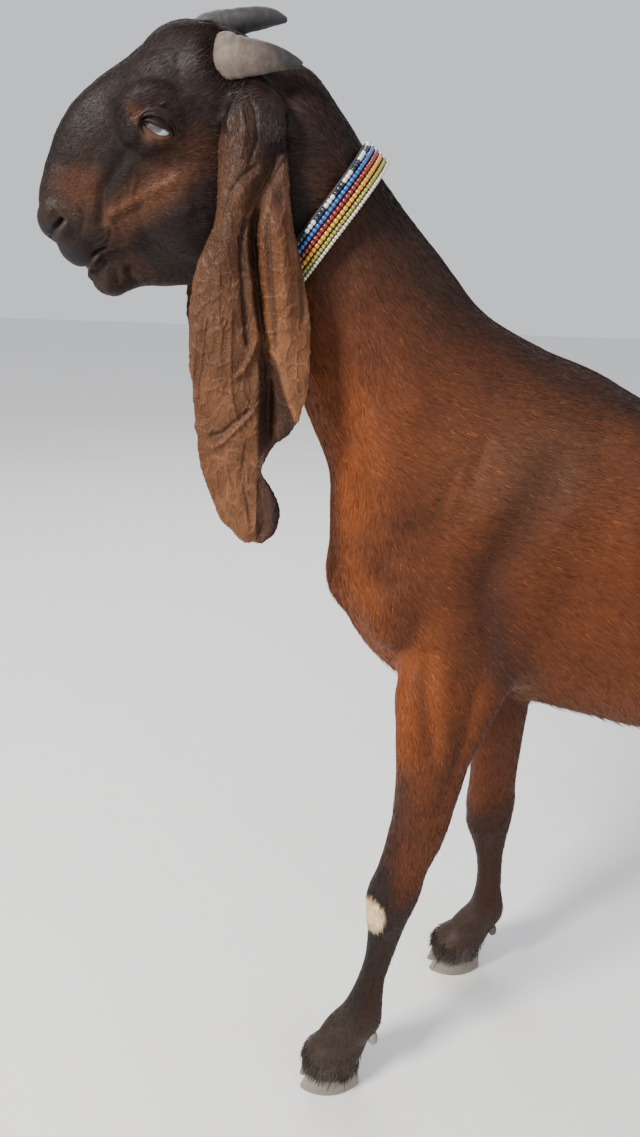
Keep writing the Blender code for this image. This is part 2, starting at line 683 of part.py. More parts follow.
def ear_sheet(side):
    """Points of the ear's middle surface, row by row from the root down."""
    root = head_point(*EAR_ROOT, side)
    rows = smooth_path(EAR_ROWS, 2)
    length = rows[-1][0]
    grid = []
    for drop, front, back, ridge in rows:
        s = drop / length
        t_ridge = (ridge - front) / (back - front)
        folded = ease(s, 0.0, 0.12) * (1 - ease(s, 0.70, 0.82))
        hang = EAR_PLANE_OUT * math.sin(ease(s, 0.0, 0.30) * math.pi / 2) + EAR_LEAN * s
        web_here = EAR_WEB * ease(s, 0.58, 0.66) * (1 - ease(s, 0.75, 0.80))
        row = []
        for j in range(EAR_COLUMNS):
            t = j / (EAR_COLUMNS - 1)
            across = front + (back - front) * t
            beyond = across - ridge
            out = EAR_PANEL * math.sin(math.pi * ease(t, 0.0, max(t_ridge, 0.05))) * (1 - 0.4 * s)
            out += EAR_LOBE * math.sin(math.pi * ease(t, t_ridge, max(1.0, t_ridge + 0.05)))
            out += EAR_ROLL * bump(beyond - EAR_ROLL_PLACE, EAR_ROLL_WIDTH) * folded
            out -= EAR_GROOVE * bump(beyond - EAR_GROOVE_PLACE, EAR_GROOVE_WIDTH) * folded
            out -= web_here / (1 + math.exp(-(beyond - 0.004) / EAR_WEB_EDGE))
            curl = -EAR_CURL * (1 - s) * (2 * t - 1) ** 2
            row.append(root + Vector((across, side * (hang + out + curl), -drop)))
        grid.append(row)
    return grid


def ear_blade(name, side, collection):
    """The long hanging blade of the ear: a folded sheet of real thickness."""
    bm = bmesh.new()
    grid = [[bm.verts.new(p) for p in row] for row in ear_sheet(side)]
    for upper, lower in zip(grid, grid[1:]):
        for j in range(EAR_COLUMNS - 1):
            bm.faces.new((upper[j], upper[j + 1], lower[j + 1], lower[j]))
    sheet = object_from_bmesh(name, bm, collection)
    wall = sheet.modifiers.new("wall", "SOLIDIFY")
    wall.thickness = EAR_THICKNESS
    wall.offset = 0.0
    settle(sheet)
    return sheet


# Rings of the ear's stalk: distance outward, half length, half height, drop below the root
EAR_STALK = (
    (-0.024, 0.020, 0.017, -0.006),
    (-0.006, 0.024, 0.020, -0.003),
    (0.006, 0.028, 0.019, 0.006),
    (0.013, 0.029, 0.015, 0.016),
    (0.018, 0.026, 0.009, 0.027),
)
EAR_STALK_SIDES = 16


def ear_stalk(name, side, collection):
    """The stalk that carries the ear out of the head, sunk at its inner end."""
    rings = []
    for out, half_long, half_high, drop in EAR_STALK:
        centre = head_point(*EAR_ROOT, side) + Vector((0, side * out, -drop))
        ring = []
        for k in range(EAR_STALK_SIDES):
            angle = 2 * math.pi * k / EAR_STALK_SIDES
            ring.append(centre + Vector((math.cos(angle) * half_long, 0, math.sin(angle) * half_high)))
        rings.append(ring)
    return object_from_bmesh(name, loft(rings), collection)


CLAW_BACK = ((1.0, 0.0), (0.5, 0.0), (0.0, 0.0))
CLAW_LEVELS = ((0.0, 1.0), (0.45, 0.97), (1.0, 0.93))
CLAW_SIDE_POINTS = 9
CLAW_SLOPE = 0.008


def claw(name, foot, inner, collection):
    """One claw of a cloven hoof: flat sole, straight inner wall, curved outer wall."""
    toe_x, heel_x, y = foot
    length = heel_x - toe_x
    outline = []
    for i in range(CLAW_SIDE_POINTS):
        t = i / (CLAW_SIDE_POINTS - 1)
        bow = math.sin(math.pi * min(1.0, 0.14 + 0.80 * t)) ** 0.7
        outline.append((t, bow))
    slope = (HEEL_HEIGHT - HOOF_HEIGHT) / length
    rings = []
    for level, squeeze in CLAW_LEVELS:
        ring = []
        for t, bow in outline + list(CLAW_BACK):
            x = toe_x + level * CLAW_SLOPE * (1 - t) + length * t * (1 - 0.03 * level)
            out = CLAW_GAP + CLAW_WIDTH * bow * squeeze
            top = HOOF_HEIGHT + slope * (x - toe_x)
            ring.append(Vector((x, y + inner * out, level * top)))
        rings.append(ring)
    return object_from_bmesh(name, loft(rings), collection)


TOE_REACH = 0.006
HEEL_REACH = 0.002


def foot_numbers(stations, side, shift):
    """Where a foot stands: toe, heel and middle, read from the leg's lowest stations."""
    coronet = stations[-2]
    toe = coronet[0][0] + shift - TOE_REACH
    heel = coronet[1][0] + shift + HEEL_REACH
    return toe, heel, coronet[2] * side


def coronet_plane(foot, gap):
    """The slanting plane between the hairy foot and its claws, (point, outward normal)."""
    toe, heel, y = foot
    slope = (HEEL_HEIGHT - HOOF_HEIGHT) / (heel - toe)
    return (toe, 0.0, HOOF_HEIGHT + gap), (slope, 0.0, -1.0)


def dewclaw(name, place, collection):
    bm = bmesh.new()
    bmesh.ops.create_cone(bm, cap_ends=True, segments=10, radius1=0.0085, radius2=0.0045,
                          depth=DEWCLAW_LENGTH)
    turn = Matrix.Translation(place) @ Matrix.Rotation(DEWCLAW_TILT, 4, "Y")
    bmesh.ops.transform(bm, matrix=turn, verts=bm.verts)
    return object_from_bmesh(name, bm, collection)


LOCK_RINGS = 4
LOCK_SIDES = 4
LOCK_LENGTH = 0.050
LOCK_HALF_WIDTH = 0.0080
LOCK_HALF_THICK = 0.0032
LOCK_BOW = 0.006
TAIL_ROOT = (0.655, 0.008, 0.840)
TAIL_RUN = (0.035, -0.085)


def tail_lock(index, rng, collection):
    """One flat tapered lock of the tail's fringe, its root sunk in the tail."""
    t = index / (TAIL_LOCKS - 1)
    side = -1 if index % 2 else 1
    base = Vector((TAIL_ROOT[0] + TAIL_RUN[0] * t, side * TAIL_ROOT[1] * (1 - t),
                   TAIL_ROOT[2] + TAIL_RUN[1] * t))
    length = LOCK_LENGTH + 0.012 * rng.random()
    lean = Vector((0.25 + 0.2 * rng.random(), side * 0.35 * (1 - 0.6 * t), -1.0)).normalized()
    rings = []
    for step in range(LOCK_RINGS):
        s = step / (LOCK_RINGS - 1)
        bow = side * LOCK_BOW * math.sin(math.pi * s)
        centre = base + lean * length * s + Vector((0.0, bow, 0.0))
        half = LOCK_HALF_WIDTH * (1 - s) ** 0.7 + 0.0010
        thick = LOCK_HALF_THICK * (1 - s) + 0.0008
        ring = []
        for k in range(LOCK_SIDES):
            angle = 2 * math.pi * k / LOCK_SIDES
            ring.append(centre + Vector((math.cos(angle) * half, math.sin(angle) * thick, 0.0)))
        rings.append(ring)
    return object_from_bmesh("lock_%d" % index, loft(rings), collection)


def tail(collection, cutters):
    """The short raised tail with the locks of its fringe fused into it."""
    body = slab("tail", TAIL_STATIONS, collection, points=12, steps=2, power=2.0)
    rng = np.random.default_rng(TAIL_SEED)
    locks = [tail_lock(i, rng, cutters) for i in range(TAIL_LOCKS)]
    fringe = locks[0]
    for lock in locks[1:]:
        boolean(fringe, lock, "UNION")
        bpy.data.objects.remove(lock, do_unlink=True)
    boolean(body, fringe, "UNION")
    bpy.data.objects.remove(fringe, do_unlink=True)
    return body


def collar_frame():
    """The collar's middle, the direction from throat to crest, and its axis along the neck."""
    top = Vector((COLLAR_TOP[0], COLLAR_MIDDLE_Y, COLLAR_TOP[1]))
    bottom = Vector((COLLAR_BOTTOM[0], COLLAR_MIDDLE_Y, COLLAR_BOTTOM[1]))
    rise = (top - bottom).normalized()
    axis = Vector((0, 1, 0)).cross(rise).normalized()
    return (top + bottom) / 2, rise, axis


def collar_ray(k):
    """The direction in which point k of the collar lies from its middle."""
    rise = collar_frame()[1]
    angle = 2 * math.pi * k / COLLAR_SEGMENTS
    return rise * math.sin(angle) + Vector((0, 1, 0)) * math.cos(angle)


def neck_reach(neck):
    """How far the neck's surface lies from the collar's middle, all the way round."""
    middle, rise, axis = collar_frame()
    tree = BVHTree.FromPolygons([v.co for v in neck.data.vertices],
                                [p.vertices for p in neck.data.polygons])
    reach = []
    for k in range(COLLAR_SEGMENTS):
        hits = [tree.ray_cast(middle + axis * along, collar_ray(k))[3] for along in COLLAR_LEVELS]
        reach.append(max(h for h in hits if h is not None) + COLLAR_EASE)
    wide = np.array(reach)
    wide = np.maximum.reduce([wide, np.roll(wide, 1), np.roll(wide, -1)])
    for _ in range(3):
        wide = (np.roll(wide, 1) + 2 * wide + np.roll(wide, -1)) / 4
    return wide


def collar_ring(reach, out, along):
    """Points round the neck at a distance outside it, at a place across the collar's width."""
    middle, rise, axis = collar_frame()
    return [middle + collar_ray(k) * (reach[k] + out) + axis * along for k in range(COLLAR_SEGMENTS)]


def ring_solid(name, loops, collection):
    """A closed ring whose section runs through several loops of points."""
    bm = bmesh.new()
    grid = [[bm.verts.new(p) for p in loop] for loop in loops]
    count = len(grid[0])
    for a in range(len(grid)):
        first, second = grid[a], grid[(a + 1) % len(grid)]
        for i in range(count):
            j = (i + 1) % count
            bm.faces.new((first[i], first[j], second[j], second[i]))
    return object_from_bmesh(name, bm, collection)


def collar_band(reach, collection):
    """The woven band under the beads, a closed strap round the neck."""
    half = COLLAR_WIDTH / 2
    section = ((0.0, -half), (COLLAR_THICKNESS, -half), (COLLAR_THICKNESS, half), (0.0, half))
    loops = [collar_ring(reach, out, along) for out, along in section]
    return ring_solid("collar_band", loops, collection)


def bead_row(name, reach, along, radius, collection):
    """One row of beads on the band, as a ring that rests on one side of its section."""
    half_turn = math.pi / BEAD_SIDES
    loops = []
    for k in range(BEAD_SIDES):
        angle = math.pi / 2 + 2 * math.pi * k / BEAD_SIDES
        out = COLLAR_THICKNESS + GAP + radius * (math.cos(half_turn) + math.sin(angle))
        loops.append(collar_ring(reach, out, along + radius * math.cos(angle)))
    return ring_solid(name, loops, collection)


# Each row of beads from the head's side on: name, place across the band, radius, colour
BEAD_ROWS = (
    ("beads_check", -0.0120, 0.0026, (0.75, 0.75, 0.72)),
    ("beads_blue", -0.0066, 0.0026, (0.03, 0.10, 0.40)),
    ("beads_red", -0.0012, 0.0026, (0.50, 0.03, 0.02)),
    ("beads_yellow", 0.0042, 0.0026, (0.70, 0.36, 0.04)),
    ("beads_green", 0.0096, 0.0022, (0.22, 0.24, 0.05)),
    ("beads_white", 0.0140, 0.0020, (0.72, 0.72, 0.68)),
)

# Cuts between the parts, each a point and the normal that points out of the upper part
NECK_CUT = ((-0.270, 0.0, 1.202), (0.869, 0.0, -0.496))
BASE_CUT = ((-0.170, 0.0, 0.856), (0.80, 0.0, -0.56))

# Each leg: its stations, side, shift, and where its block starts: inner plane, slope of the upper
# plane, height of the upper plane, and the front or back plane
LEGS = (
    ("foreleg_left", NEAR_FORELEG, 1, 0.0, (-1, 0.050, 0.040), 0.55, 0.556,
     ((0.005, 0.0, 0.560), (1.0, 0.0, 0.3))),
    ("foreleg_right", FAR_FORELEG, 1, 0.0, (1, 0.050, 0.040), 0.55, 0.556,
     ((0.075, 0.0, 0.560), (1.0, 0.0, 0.3))),
    ("hindleg_left", HINDLEG, -1, NEAR_HIND_SHIFT, (-1, 0.030, 0.015), 1.10, 0.585,
     ((0.390, 0.0, 0.560), (-1.0, 0.0, 0.35))),
    ("hindleg_right", HINDLEG, 1, FAR_HIND_SHIFT, (1, 0.030, 0.015), 1.10, 0.585,
     ((0.315, 0.0, 0.560), (-1.0, 0.0, 0.35))),
)
SKIN_ROUNDS = 24
EAR_ROUNDS = 6


def turned(cut, gap=0.0):
    """A cut seen from its lower part, moved away from the upper one by a gap."""
    point, normal = cut
    moved = Vector(point) + Vector(normal).normalized() * gap
    return tuple(moved), tuple(-v for v in normal)


def leg_block(place, slope, height, end_plane):
    """The planes that bound a leg's block: above, towards the middle, and at its front or back."""
    side, upper_y, inner_y = place
    above = ((0.0, side * upper_y, height), (0.0, -side * slope, 1.0))
    inner = ((0.0, side * inner_y, 0.0), (0.0, -side * 1.0, 0.0))
    return [above, inner, end_plane]


def skins(cutters):
    """The fused head, and the fused whole animal, both as smooth skins."""
    nape = slab("nape", TRUNK_STATIONS[-NECK_STATIONS:], cutters, points=36)
    head_skin = join("head_skin", head_forms(cutters) + [nape], cutters)
    body_skin = join("body_skin", body_forms(cutters), cutters)
    whole = join("whole", [copy_of(head_skin, "head_copy", cutters), body_skin], cutters)
    fuse(whole, BODY_VOXEL, SKIN_ROUNDS)
    fuse(head_skin, HEAD_VOXEL, SKIN_ROUNDS)
    sculpt_head(head_skin)
    return head_skin, whole


def leg(whole, entry, coat, hoof, collection, cutters):
    """One leg with its two claws and two dewclaws."""
    name, stations, side, shift, place, slope, height, end_plane = entry
    foot = foot_numbers(stations, side, shift)
    planes = leg_block(place, slope, height, end_plane) + [coronet_plane(foot, GAP)]
    limb = cut_piece(whole, name, planes, [], LEG_TRIANGLES, collection, cutters)
    limb.data.materials.append(coat)
    fetlock = stations[-4]
    for label, inner in (("a", -1), ("b", 1)):
        piece = claw("%s_claw_%s" % (name, label), foot, inner, collection)
        piece.data.materials.append(hoof)
        spot = Vector((fetlock[1][0] + shift - 0.001, foot[2] + inner * DEWCLAW_SPREAD,
                       fetlock[1][1] - 0.010))
        nub = dewclaw("%s_dewclaw_%s" % (name, label), spot, collection)
        boolean(nub, grown(limb, GAP, cutters, "swollen_" + nub.name), "DIFFERENCE")
        keep_largest(nub)
        nub.data.materials.append(hoof)


def eyes(head, eye_white, collection, cutters):
    """Opens the lids and sets an eyeball in each socket."""
    for label, side in (("left", -1), ("right", 1)):
        centre = head_point(*EYE_CENTRE, side)
        boolean(head, eye_opening(side, cutters), "DIFFERENCE")
        boolean(head, ball("socket_" + label, centre, EYE_RADIUS + GAP, cutters), "DIFFERENCE")
        eye = ball("eye_" + label, centre, EYE_RADIUS, collection)
        eye.data.materials.append(eye_white)
    keep_largest(head)


def horns_and_ears(head, looks, collection, cutters):
    """The horns and the ears, each cut clear of the head by the gap."""
    swollen_head = grown(head, GAP, cutters, "swollen_head")
    for label, side in (("left", -1), ("right", 1)):
        piece = horn("horn_" + label, side, collection)
        boolean(piece, swollen_head, "DIFFERENCE")
        keep_largest(piece)
        piece.data.materials.append(looks["horn_" + label])
        blade = ear_blade("blade_" + label, side, cutters)
        stalk = ear_stalk("stalk_" + label, side, cutters)
        whole_ear = join("ear_" + label, [blade, stalk], collection)
        fuse(whole_ear, EAR_VOXEL, EAR_ROUNDS)
        decimate(whole_ear, EAR_TRIANGLES)
        boolean(whole_ear, swollen_head, "DIFFERENCE")
        keep_largest(whole_ear)
        whole_ear.data.materials.append(looks["ear"])


def collar(neck, band_cloth, collection, cutters):
    """The band round the neck and its six rows of beads."""
    reach = neck_reach(neck)
    band = collar_band(reach, collection)
    boolean(band, grown(neck, GAP, cutters, "swollen_neck"), "DIFFERENCE")
    keep_largest(band)
    band.data.materials.append(band_cloth)
    for name, along, radius, colour in BEAD_ROWS:
        ring = bead_row(name, reach, along, radius, collection)
        ring.data.materials.append(new_material(name, colour, 0.25))


def stand_on_origin(collection):
    """Moves every piece so that the origin is the bottom centre of the whole."""
    points = np.array([vertex.co for ob in collection.objects for vertex in ob.data.vertices])
    low = points.min(axis=0)
    high = points.max(axis=0)
    shift = Vector((-(low[0] + high[0]) / 2, -(low[1] + high[1]) / 2, -low[2]))
    for ob in collection.objects:
        ob.data.transform(Matrix.Translation(shift))


def build():
    clear_scene()
    goat = new_collection("beetal_goat")
    cutters = new_collection("cutters")
    coat = new_material("chestnut_coat", (0.115, 0.035, 0.018), 0.42)
    face = new_material("face_coat", (0.075, 0.030, 0.022), 0.45)
    eye_white = new_material("wall_eye", (0.620, 0.660, 0.720), 0.08)
    hoof = new_material("hoof", (0.420, 0.360, 0.270), 0.60)
    band_cloth = new_material("collar_cloth", (0.030, 0.030, 0.035), 0.80)
    looks = {
        "ear": new_material("ear_skin", (0.260, 0.110, 0.060), 0.55),
        "horn_left": new_material("horn", (0.190, 0.160, 0.125), 0.60),
        "horn_right": new_material("dark_horn", (0.060, 0.055, 0.055), 0.55),
    }

    head_skin, whole = skins(cutters)
    head = cut_piece(head_skin, "head", [NECK_CUT], [], HEAD_TRIANGLES, goat, cutters)
    neck = cut_piece(whole, "neck", [turned(NECK_CUT, GAP), BASE_CUT], [], NECK_TRIANGLES, goat, cutters)
    blocks = [leg_block(*entry[4:]) for entry in LEGS]
    torso = cut_piece(whole, "torso", [turned(BASE_CUT, GAP)], blocks, TORSO_TRIANGLES, goat, cutters)
    for entry in LEGS:
        leg(whole, entry, coat, hoof, goat, cutters)
    eyes(head, eye_white, goat, cutters)
    horns_and_ears(head, looks, goat, cutters)
    tail_piece = tail(goat, cutters)
    boolean(tail_piece, grown(torso, GAP, cutters, "swollen_torso"), "DIFFERENCE")
    keep_largest(tail_piece)
    collar(neck, band_cloth, goat, cutters)

    head.data.materials.append(face)
    for piece in (neck, torso, tail_piece):
        piece.data.materials.append(coat)
    for ob in list(cutters.objects):
        bpy.data.objects.remove(ob, do_unlink=True)
    stand_on_origin(goat)


build()
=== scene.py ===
"""The looks of a life-size still model of a standing beetal goat.

Skin, coat, lids, eyes, horns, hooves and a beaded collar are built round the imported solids.
Metres, +Z up; the goat faces -X and its left side is towards -Y.
"""
import math
from itertools import product

import bmesh
import bpy
import numpy as np
from mathutils import Matrix, Vector, noise
from mathutils.bvhtree import BVHTree


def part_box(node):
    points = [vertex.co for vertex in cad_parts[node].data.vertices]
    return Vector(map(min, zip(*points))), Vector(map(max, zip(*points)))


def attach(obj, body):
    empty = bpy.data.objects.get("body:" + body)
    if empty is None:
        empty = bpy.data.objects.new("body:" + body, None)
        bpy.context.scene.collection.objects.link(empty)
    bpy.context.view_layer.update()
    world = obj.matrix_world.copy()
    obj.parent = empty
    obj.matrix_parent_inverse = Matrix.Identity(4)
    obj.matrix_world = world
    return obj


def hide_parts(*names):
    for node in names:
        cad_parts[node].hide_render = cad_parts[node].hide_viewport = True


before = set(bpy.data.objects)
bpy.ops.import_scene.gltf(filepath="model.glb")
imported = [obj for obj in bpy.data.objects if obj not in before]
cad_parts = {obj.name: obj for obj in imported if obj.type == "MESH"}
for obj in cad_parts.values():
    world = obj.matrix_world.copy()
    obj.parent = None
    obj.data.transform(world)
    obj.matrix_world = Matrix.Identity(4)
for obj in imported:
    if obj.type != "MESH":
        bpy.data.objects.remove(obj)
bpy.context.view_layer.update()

bl_info = {
    "name": "Beetal goat figure",
    "version": (1, 0, 0),
    "blender": (4, 5, 0),
    "location": "View3D > Sidebar > Goat",
    "description": "Builds skin, coat, eyes, horns, hooves and collar of a standing beetal goat",
    "category": "Object",
}

# The head's place and turn, in the frame whose x is 0 at the withers
HEAD_CENTRE = (-0.446, -0.010, 1.184)
HEAD_YAW = math.radians(-4.0)
HEAD_PITCH = math.radians(42.0)
HEAD_ROLL = math.radians(17.0)
EYE_CENTRE = (0.001, 0.0468, 0.009)
LID_TILT = math.radians(-65.0)

SIDES = (("left", -1), ("right", 1))
LEGS = ("foreleg_left", "foreleg_right", "hindleg_left", "hindleg_right")


def metres(values):
    """Lengths in millimetres, alone or in nested rows, as metres."""
    if isinstance(values, (tuple, list)):
        return tuple(metres(v) for v in values)
    return round(values * 100) / 100000


def head_frame():
    """The head's frame in the row frame: x to the nose, y to the goat's right, z out of the forehead."""
    cp = math.cos(HEAD_PITCH)
    forward = Vector((-cp * math.cos(HEAD_YAW), -cp * math.sin(HEAD_YAW), -math.sin(HEAD_PITCH)))
    right = forward.cross(Vector((0, 0, 1))).normalized()
    up = right.cross(forward)
    side = right * math.cos(HEAD_ROLL) + up * math.sin(HEAD_ROLL)
    dorsal = up * math.cos(HEAD_ROLL) - right * math.sin(HEAD_ROLL)
    turn = Matrix((forward, side, dorsal)).transposed()
    low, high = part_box("eye_left")
    origin = (low + high) / 2 - turn @ Vector((EYE_CENTRE[0], -EYE_CENTRE[1], EYE_CENTRE[2]))
    return Matrix.Translation(origin) @ turn.to_4x4()


HEAD = head_frame()
WITHERS = HEAD.translation - Vector(HEAD_CENTRE)
EYE_RADIUS = (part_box("eye_left")[1].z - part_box("eye_left")[0].z) / 2


def head_point(forward, out, up, side):
    return HEAD @ Vector((forward, out * side, up))


def in_goat(points):
    """Row-frame points in the frame whose x is 0 at the withers."""
    return points - np.array(WITHERS)


def moved(points, matrix):
    return points @ np.array(matrix.to_3x3()).T + np.array(matrix.translation)


def in_head(points):
    """Row-frame points in the head's frame, both sides folded onto one."""
    local = moved(points, HEAD.inverted())
    local[:, 1] = np.abs(local[:, 1])
    return local


# Arrays and meshes


def read(rows, name, wide, kind=np.int32):
    """One property of all elements of a mesh, as an array."""
    values = np.empty(len(rows) * wide, kind)
    rows.foreach_get(name, values)
    return values.reshape(-1, wide) if wide > 1 else values


def points_of(mesh):
    return read(mesh.vertices, "co", 3, np.float32).astype(float)


def normals_of(mesh):
    return read(mesh.vertex_normals, "vector", 3, np.float32).astype(float)


def put_points(mesh, points):
    mesh.vertices.foreach_set("co", points.astype(np.float32).ravel())
    mesh.update()


def edges_of(mesh):
    return read(mesh.edges, "vertices", 2)


def triangles_of(mesh):
    mesh.calc_loop_triangles()
    return read(mesh.loop_triangles, "vertices", 3)


def mesh_from_arrays(name, points, faces):
    """A mesh from an array of points and one of faces that all have the same count of corners."""
    mesh = bpy.data.meshes.new(name)
    corners = faces.shape[1]
    mesh.vertices.add(len(points))
    mesh.vertices.foreach_set("co", np.asarray(points, np.float32).ravel())
    mesh.loops.add(faces.size)
    mesh.loops.foreach_set("vertex_index", faces.astype(np.int32).ravel())
    mesh.polygons.add(len(faces))
    mesh.polygons.foreach_set("loop_start", np.arange(0, faces.size, corners, dtype=np.int32))
    mesh.update(calc_edges=True)
    return mesh


def new_object(name, mesh):
    ob = bpy.data.objects.new(name, mesh)
    bpy.context.scene.collection.objects.link(ob)
    return ob


def settle(ob):
    """Replaces an object's mesh by what its modifiers make of it."""
    depsgraph = bpy.context.evaluated_depsgraph_get()
    mesh = bpy.data.meshes.new_from_object(ob.evaluated_get(depsgraph))
    ob.modifiers.clear()
    old = ob.data
    ob.data = mesh
    bpy.data.meshes.remove(old)
    return ob


def thinned(ob, share):
    """Leaves a share of an object's triangles, most of them where its surface bends."""
    modifier = ob.modifiers.new("thin", "DECIMATE")
    modifier.ratio = share
    return settle(ob)


def shade_smooth(mesh):
    mesh.polygons.foreach_set("use_smooth", np.ones(len(mesh.polygons), bool))
    mesh.update()


def put_value(mesh, name, values):
    """A number at every vertex, for the materials to read."""
    attribute = mesh.attributes.new(name, "FLOAT", "POINT")
    attribute.data.foreach_set("value", np.asarray(values, np.float32))


def put_colour(mesh, name, colours):
    """A colour at every vertex, for the materials to read."""
    attribute = mesh.color_attributes.new(name, "FLOAT_COLOR", "POINT")
    rows = np.ones((len(colours), 4), np.float32)
    rows[:, :3] = colours
    attribute.data.foreach_set("color", rows.ravel())


def between(a, b, c, d, t):
    """A point of the Catmull-Rom curve between b and c."""
    bend = 2 * a - 5 * b + 4 * c - d
    return 0.5 * (2 * b + (c - a) * t + bend * t ** 2 + (3 * b - a - 3 * c + d) * t ** 3)


def smooth_path(values, steps):
    """Points of a Catmull-Rom curve through the rows of an array, its end rows included."""
    rows = np.array(values, dtype=float)
    padded = np.vstack([2 * rows[0] - rows[1], rows, 2 * rows[-1] - rows[-2]])
    out = []
    for i in range(1, len(padded) - 2):
        out += [between(*padded[i - 1:i + 3], k / steps) for k in range(steps)]
    out.append(rows[-1])
    return np.array(out)


def circle(count):
    """Angles spread evenly round a circle."""
    return np.arange(count) * 2 * math.pi / count


def closed_loft(rings):
    """Points and triangles of a closed form through rings of equal length, fanned at both ends."""
    rings = np.asarray(rings, float)
    count, around = rings.shape[:2]
    points = np.vstack([rings.reshape(-1, 3), rings[0].mean(0)[None], rings[-1].mean(0)[None]])
    i, j = np.meshgrid(np.arange(count - 1), np.arange(around), indexing="ij")
    a = (i * around + j).ravel()
    b = (i * around + (j + 1) % around).ravel()
    c, d = a + around, b + around
    faces = [np.stack([a, b, d], 1), np.stack([a, d, c], 1)]
    k = np.arange(around)
    first, last = count * around, count * around + 1
    faces.append(np.stack([np.full(around, first), (k + 1) % around, k], 1))
    end = (count - 1) * around
    faces.append(np.stack([np.full(around, last), end + k, end + (k + 1) % around], 1))
    return points, np.vstack(faces)


def ring_loft(loops):
    """Points and triangles of a closed hoop whose section runs through several loops of points."""
    loops = np.asarray(loops, float)
    count, around = loops.shape[:2]
    i, j = np.meshgrid(np.arange(count), np.arange(around), indexing="ij")
    a = (i * around + j).ravel()
    b = (i * around + (j + 1) % around).ravel()
    c = (((i + 1) % count) * around + j).ravel()
    d = (((i + 1) % count) * around + (j + 1) % around).ravel()
    return loops.reshape(-1, 3), np.vstack([np.stack([a, b, d], 1), np.stack([a, d, c], 1)])


def joined(parts):
    """One set of points and triangles from several."""
    points, faces, start = [], [], 0
    for part_points, part_faces in parts:
        points.append(part_points)
        faces.append(part_faces + start)
        start += len(part_points)
    return np.vstack(points), np.vstack(faces)


def outward(mesh):
    """Turns the faces of closed forms so that they look outwards."""
    bm = bmesh.new()
    bm.from_mesh(mesh)
    bmesh.ops.recalc_face_normals(bm, faces=bm.faces)
    bm.to_mesh(mesh)
    bm.free()


def finished(name, parts, material, nodes):
    """An object of closed forms that rides on the body and stands for CAD nodes."""
    mesh = mesh_from_arrays(name, *joined(parts))
    outward(mesh)
    shade_smooth(mesh)
    mesh.materials.append(material)
    ob = new_object(name, mesh)
    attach(ob, "root")
    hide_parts(*nodes)
    return ob


# Measures on arrays of points


def smoothstep(values, start, end):
    t = np.clip((values - start) / (end - start), 0.0, 1.0)
    return t * t * (3 - 2 * t)


def bump(distance, width):
    return np.exp(-(distance / width) ** 2)


def line_distance(points, line):
    """Distance of each point from a line of straight pieces."""
    best = None
    for a, b in zip(line, line[1:]):
        a, b = np.array(a, float), np.array(b, float)
        run = b - a
        t = np.clip(((points - a) @ run) / (run @ run), 0, 1)
        distance = np.linalg.norm(points - (a + t[:, None] * run), axis=1)
        best = distance if best is None else np.minimum(best, distance)
    return best


def near_line(points, line, width, offset=0.0):
    """1 on a line (or at an offset from it), fading out over its width; far points are skipped."""
    rows = np.array(line, float)
    reach = 3 * width + abs(offset)
    close = np.all((points > rows.min(0) - reach) & (points < rows.max(0) + reach), axis=1)
    out = np.zeros(len(points))
    if close.any():
        out[close] = bump(line_distance(points[close], line) - offset, width)
    return out


def streak(points, width, *line):
    """The same for a line that is given here, in millimetres."""
    return near_line(points, metres(line), metres(width))


def spot(points, centre, radii):
    """1 at a centre, fading out over radii, both in millimetres."""
    return np.exp(-np.sum(((points - np.array(metres(centre))) / np.array(metres(radii))) ** 2, axis=1))


def mix(first, second, weight):
    return first + (np.array(second) - first) * weight[:, None]


def relax(points, edges, weight, rounds):
    """Moves each point towards the mean of its neighbours, by its own weight."""
    count = len(points)
    a, b = edges[:, 0], edges[:, 1]
    degree = np.bincount(a, minlength=count) + np.bincount(b, minlength=count)
    for _ in range(rounds):
        for axis in range(3):
            values = points[:, axis]
            total = np.bincount(a, values[b], count) + np.bincount(b, values[a], count)
            points[:, axis] = values + weight * (total / degree - values)
    return points


# Forms: the same stations and masses that the solids are built from



def stations(*rows):
    """Stations of a flattened form: outline points above and below, middle's y, half width, bulge.

    A row gives x and z above, x and z below, y and half width in millimetres, and the share by which the
    section is wider at its lower edge than at its upper edge, where it isn't 0.
    """
    table = []
    for row in rows:
        ax, az, bx, bz, y, width = metres(row[:6])
        table.append(((ax, az), (bx, bz), y, width, row[6] if len(row) > 6 else 0.0))
    return table


TRUNK_STATIONS = stations(
    (668, 800, 655, 735, 0, 30), (650, 842, 632, 665, 0, 72), (595, 882, 570, 600, 0, 106),
    (500, 906, 470, 560, 0, 124, 0.02), (395, 902, 365, 536, 0, 136, 0.06),
    (290, 893, 265, 517, 0, 147, 0.06), (185, 897, 160, 512, 0, 146, 0.02),
    (95, 922, 65, 528, 0, 132, -0.04), (25, 955, -25, 545, 0, 113, -0.06),
    (-30, 975, -125, 553, 0, 104, -0.04), (-72, 995, -200, 600, 0, 100, 0.02),
    (-102, 1013, -247, 675, 0, 94, 0.05), (-126, 1037, -262, 755, 0, 84, 0.08),
    (-150, 1065, -266, 828, 0, 75, 0.1), (-183, 1100, -292, 892, 0, 68, 0.1),
    (-215, 1137, -318, 952, 0, 62, 0.08), (-242, 1168, -340, 1003, 0, 59, 0.05),
    (-268, 1202, -360, 1047, -4, 57), (-296, 1234, -382, 1085, -8, 50), (-322, 1248, -400, 1125, -10, 36))

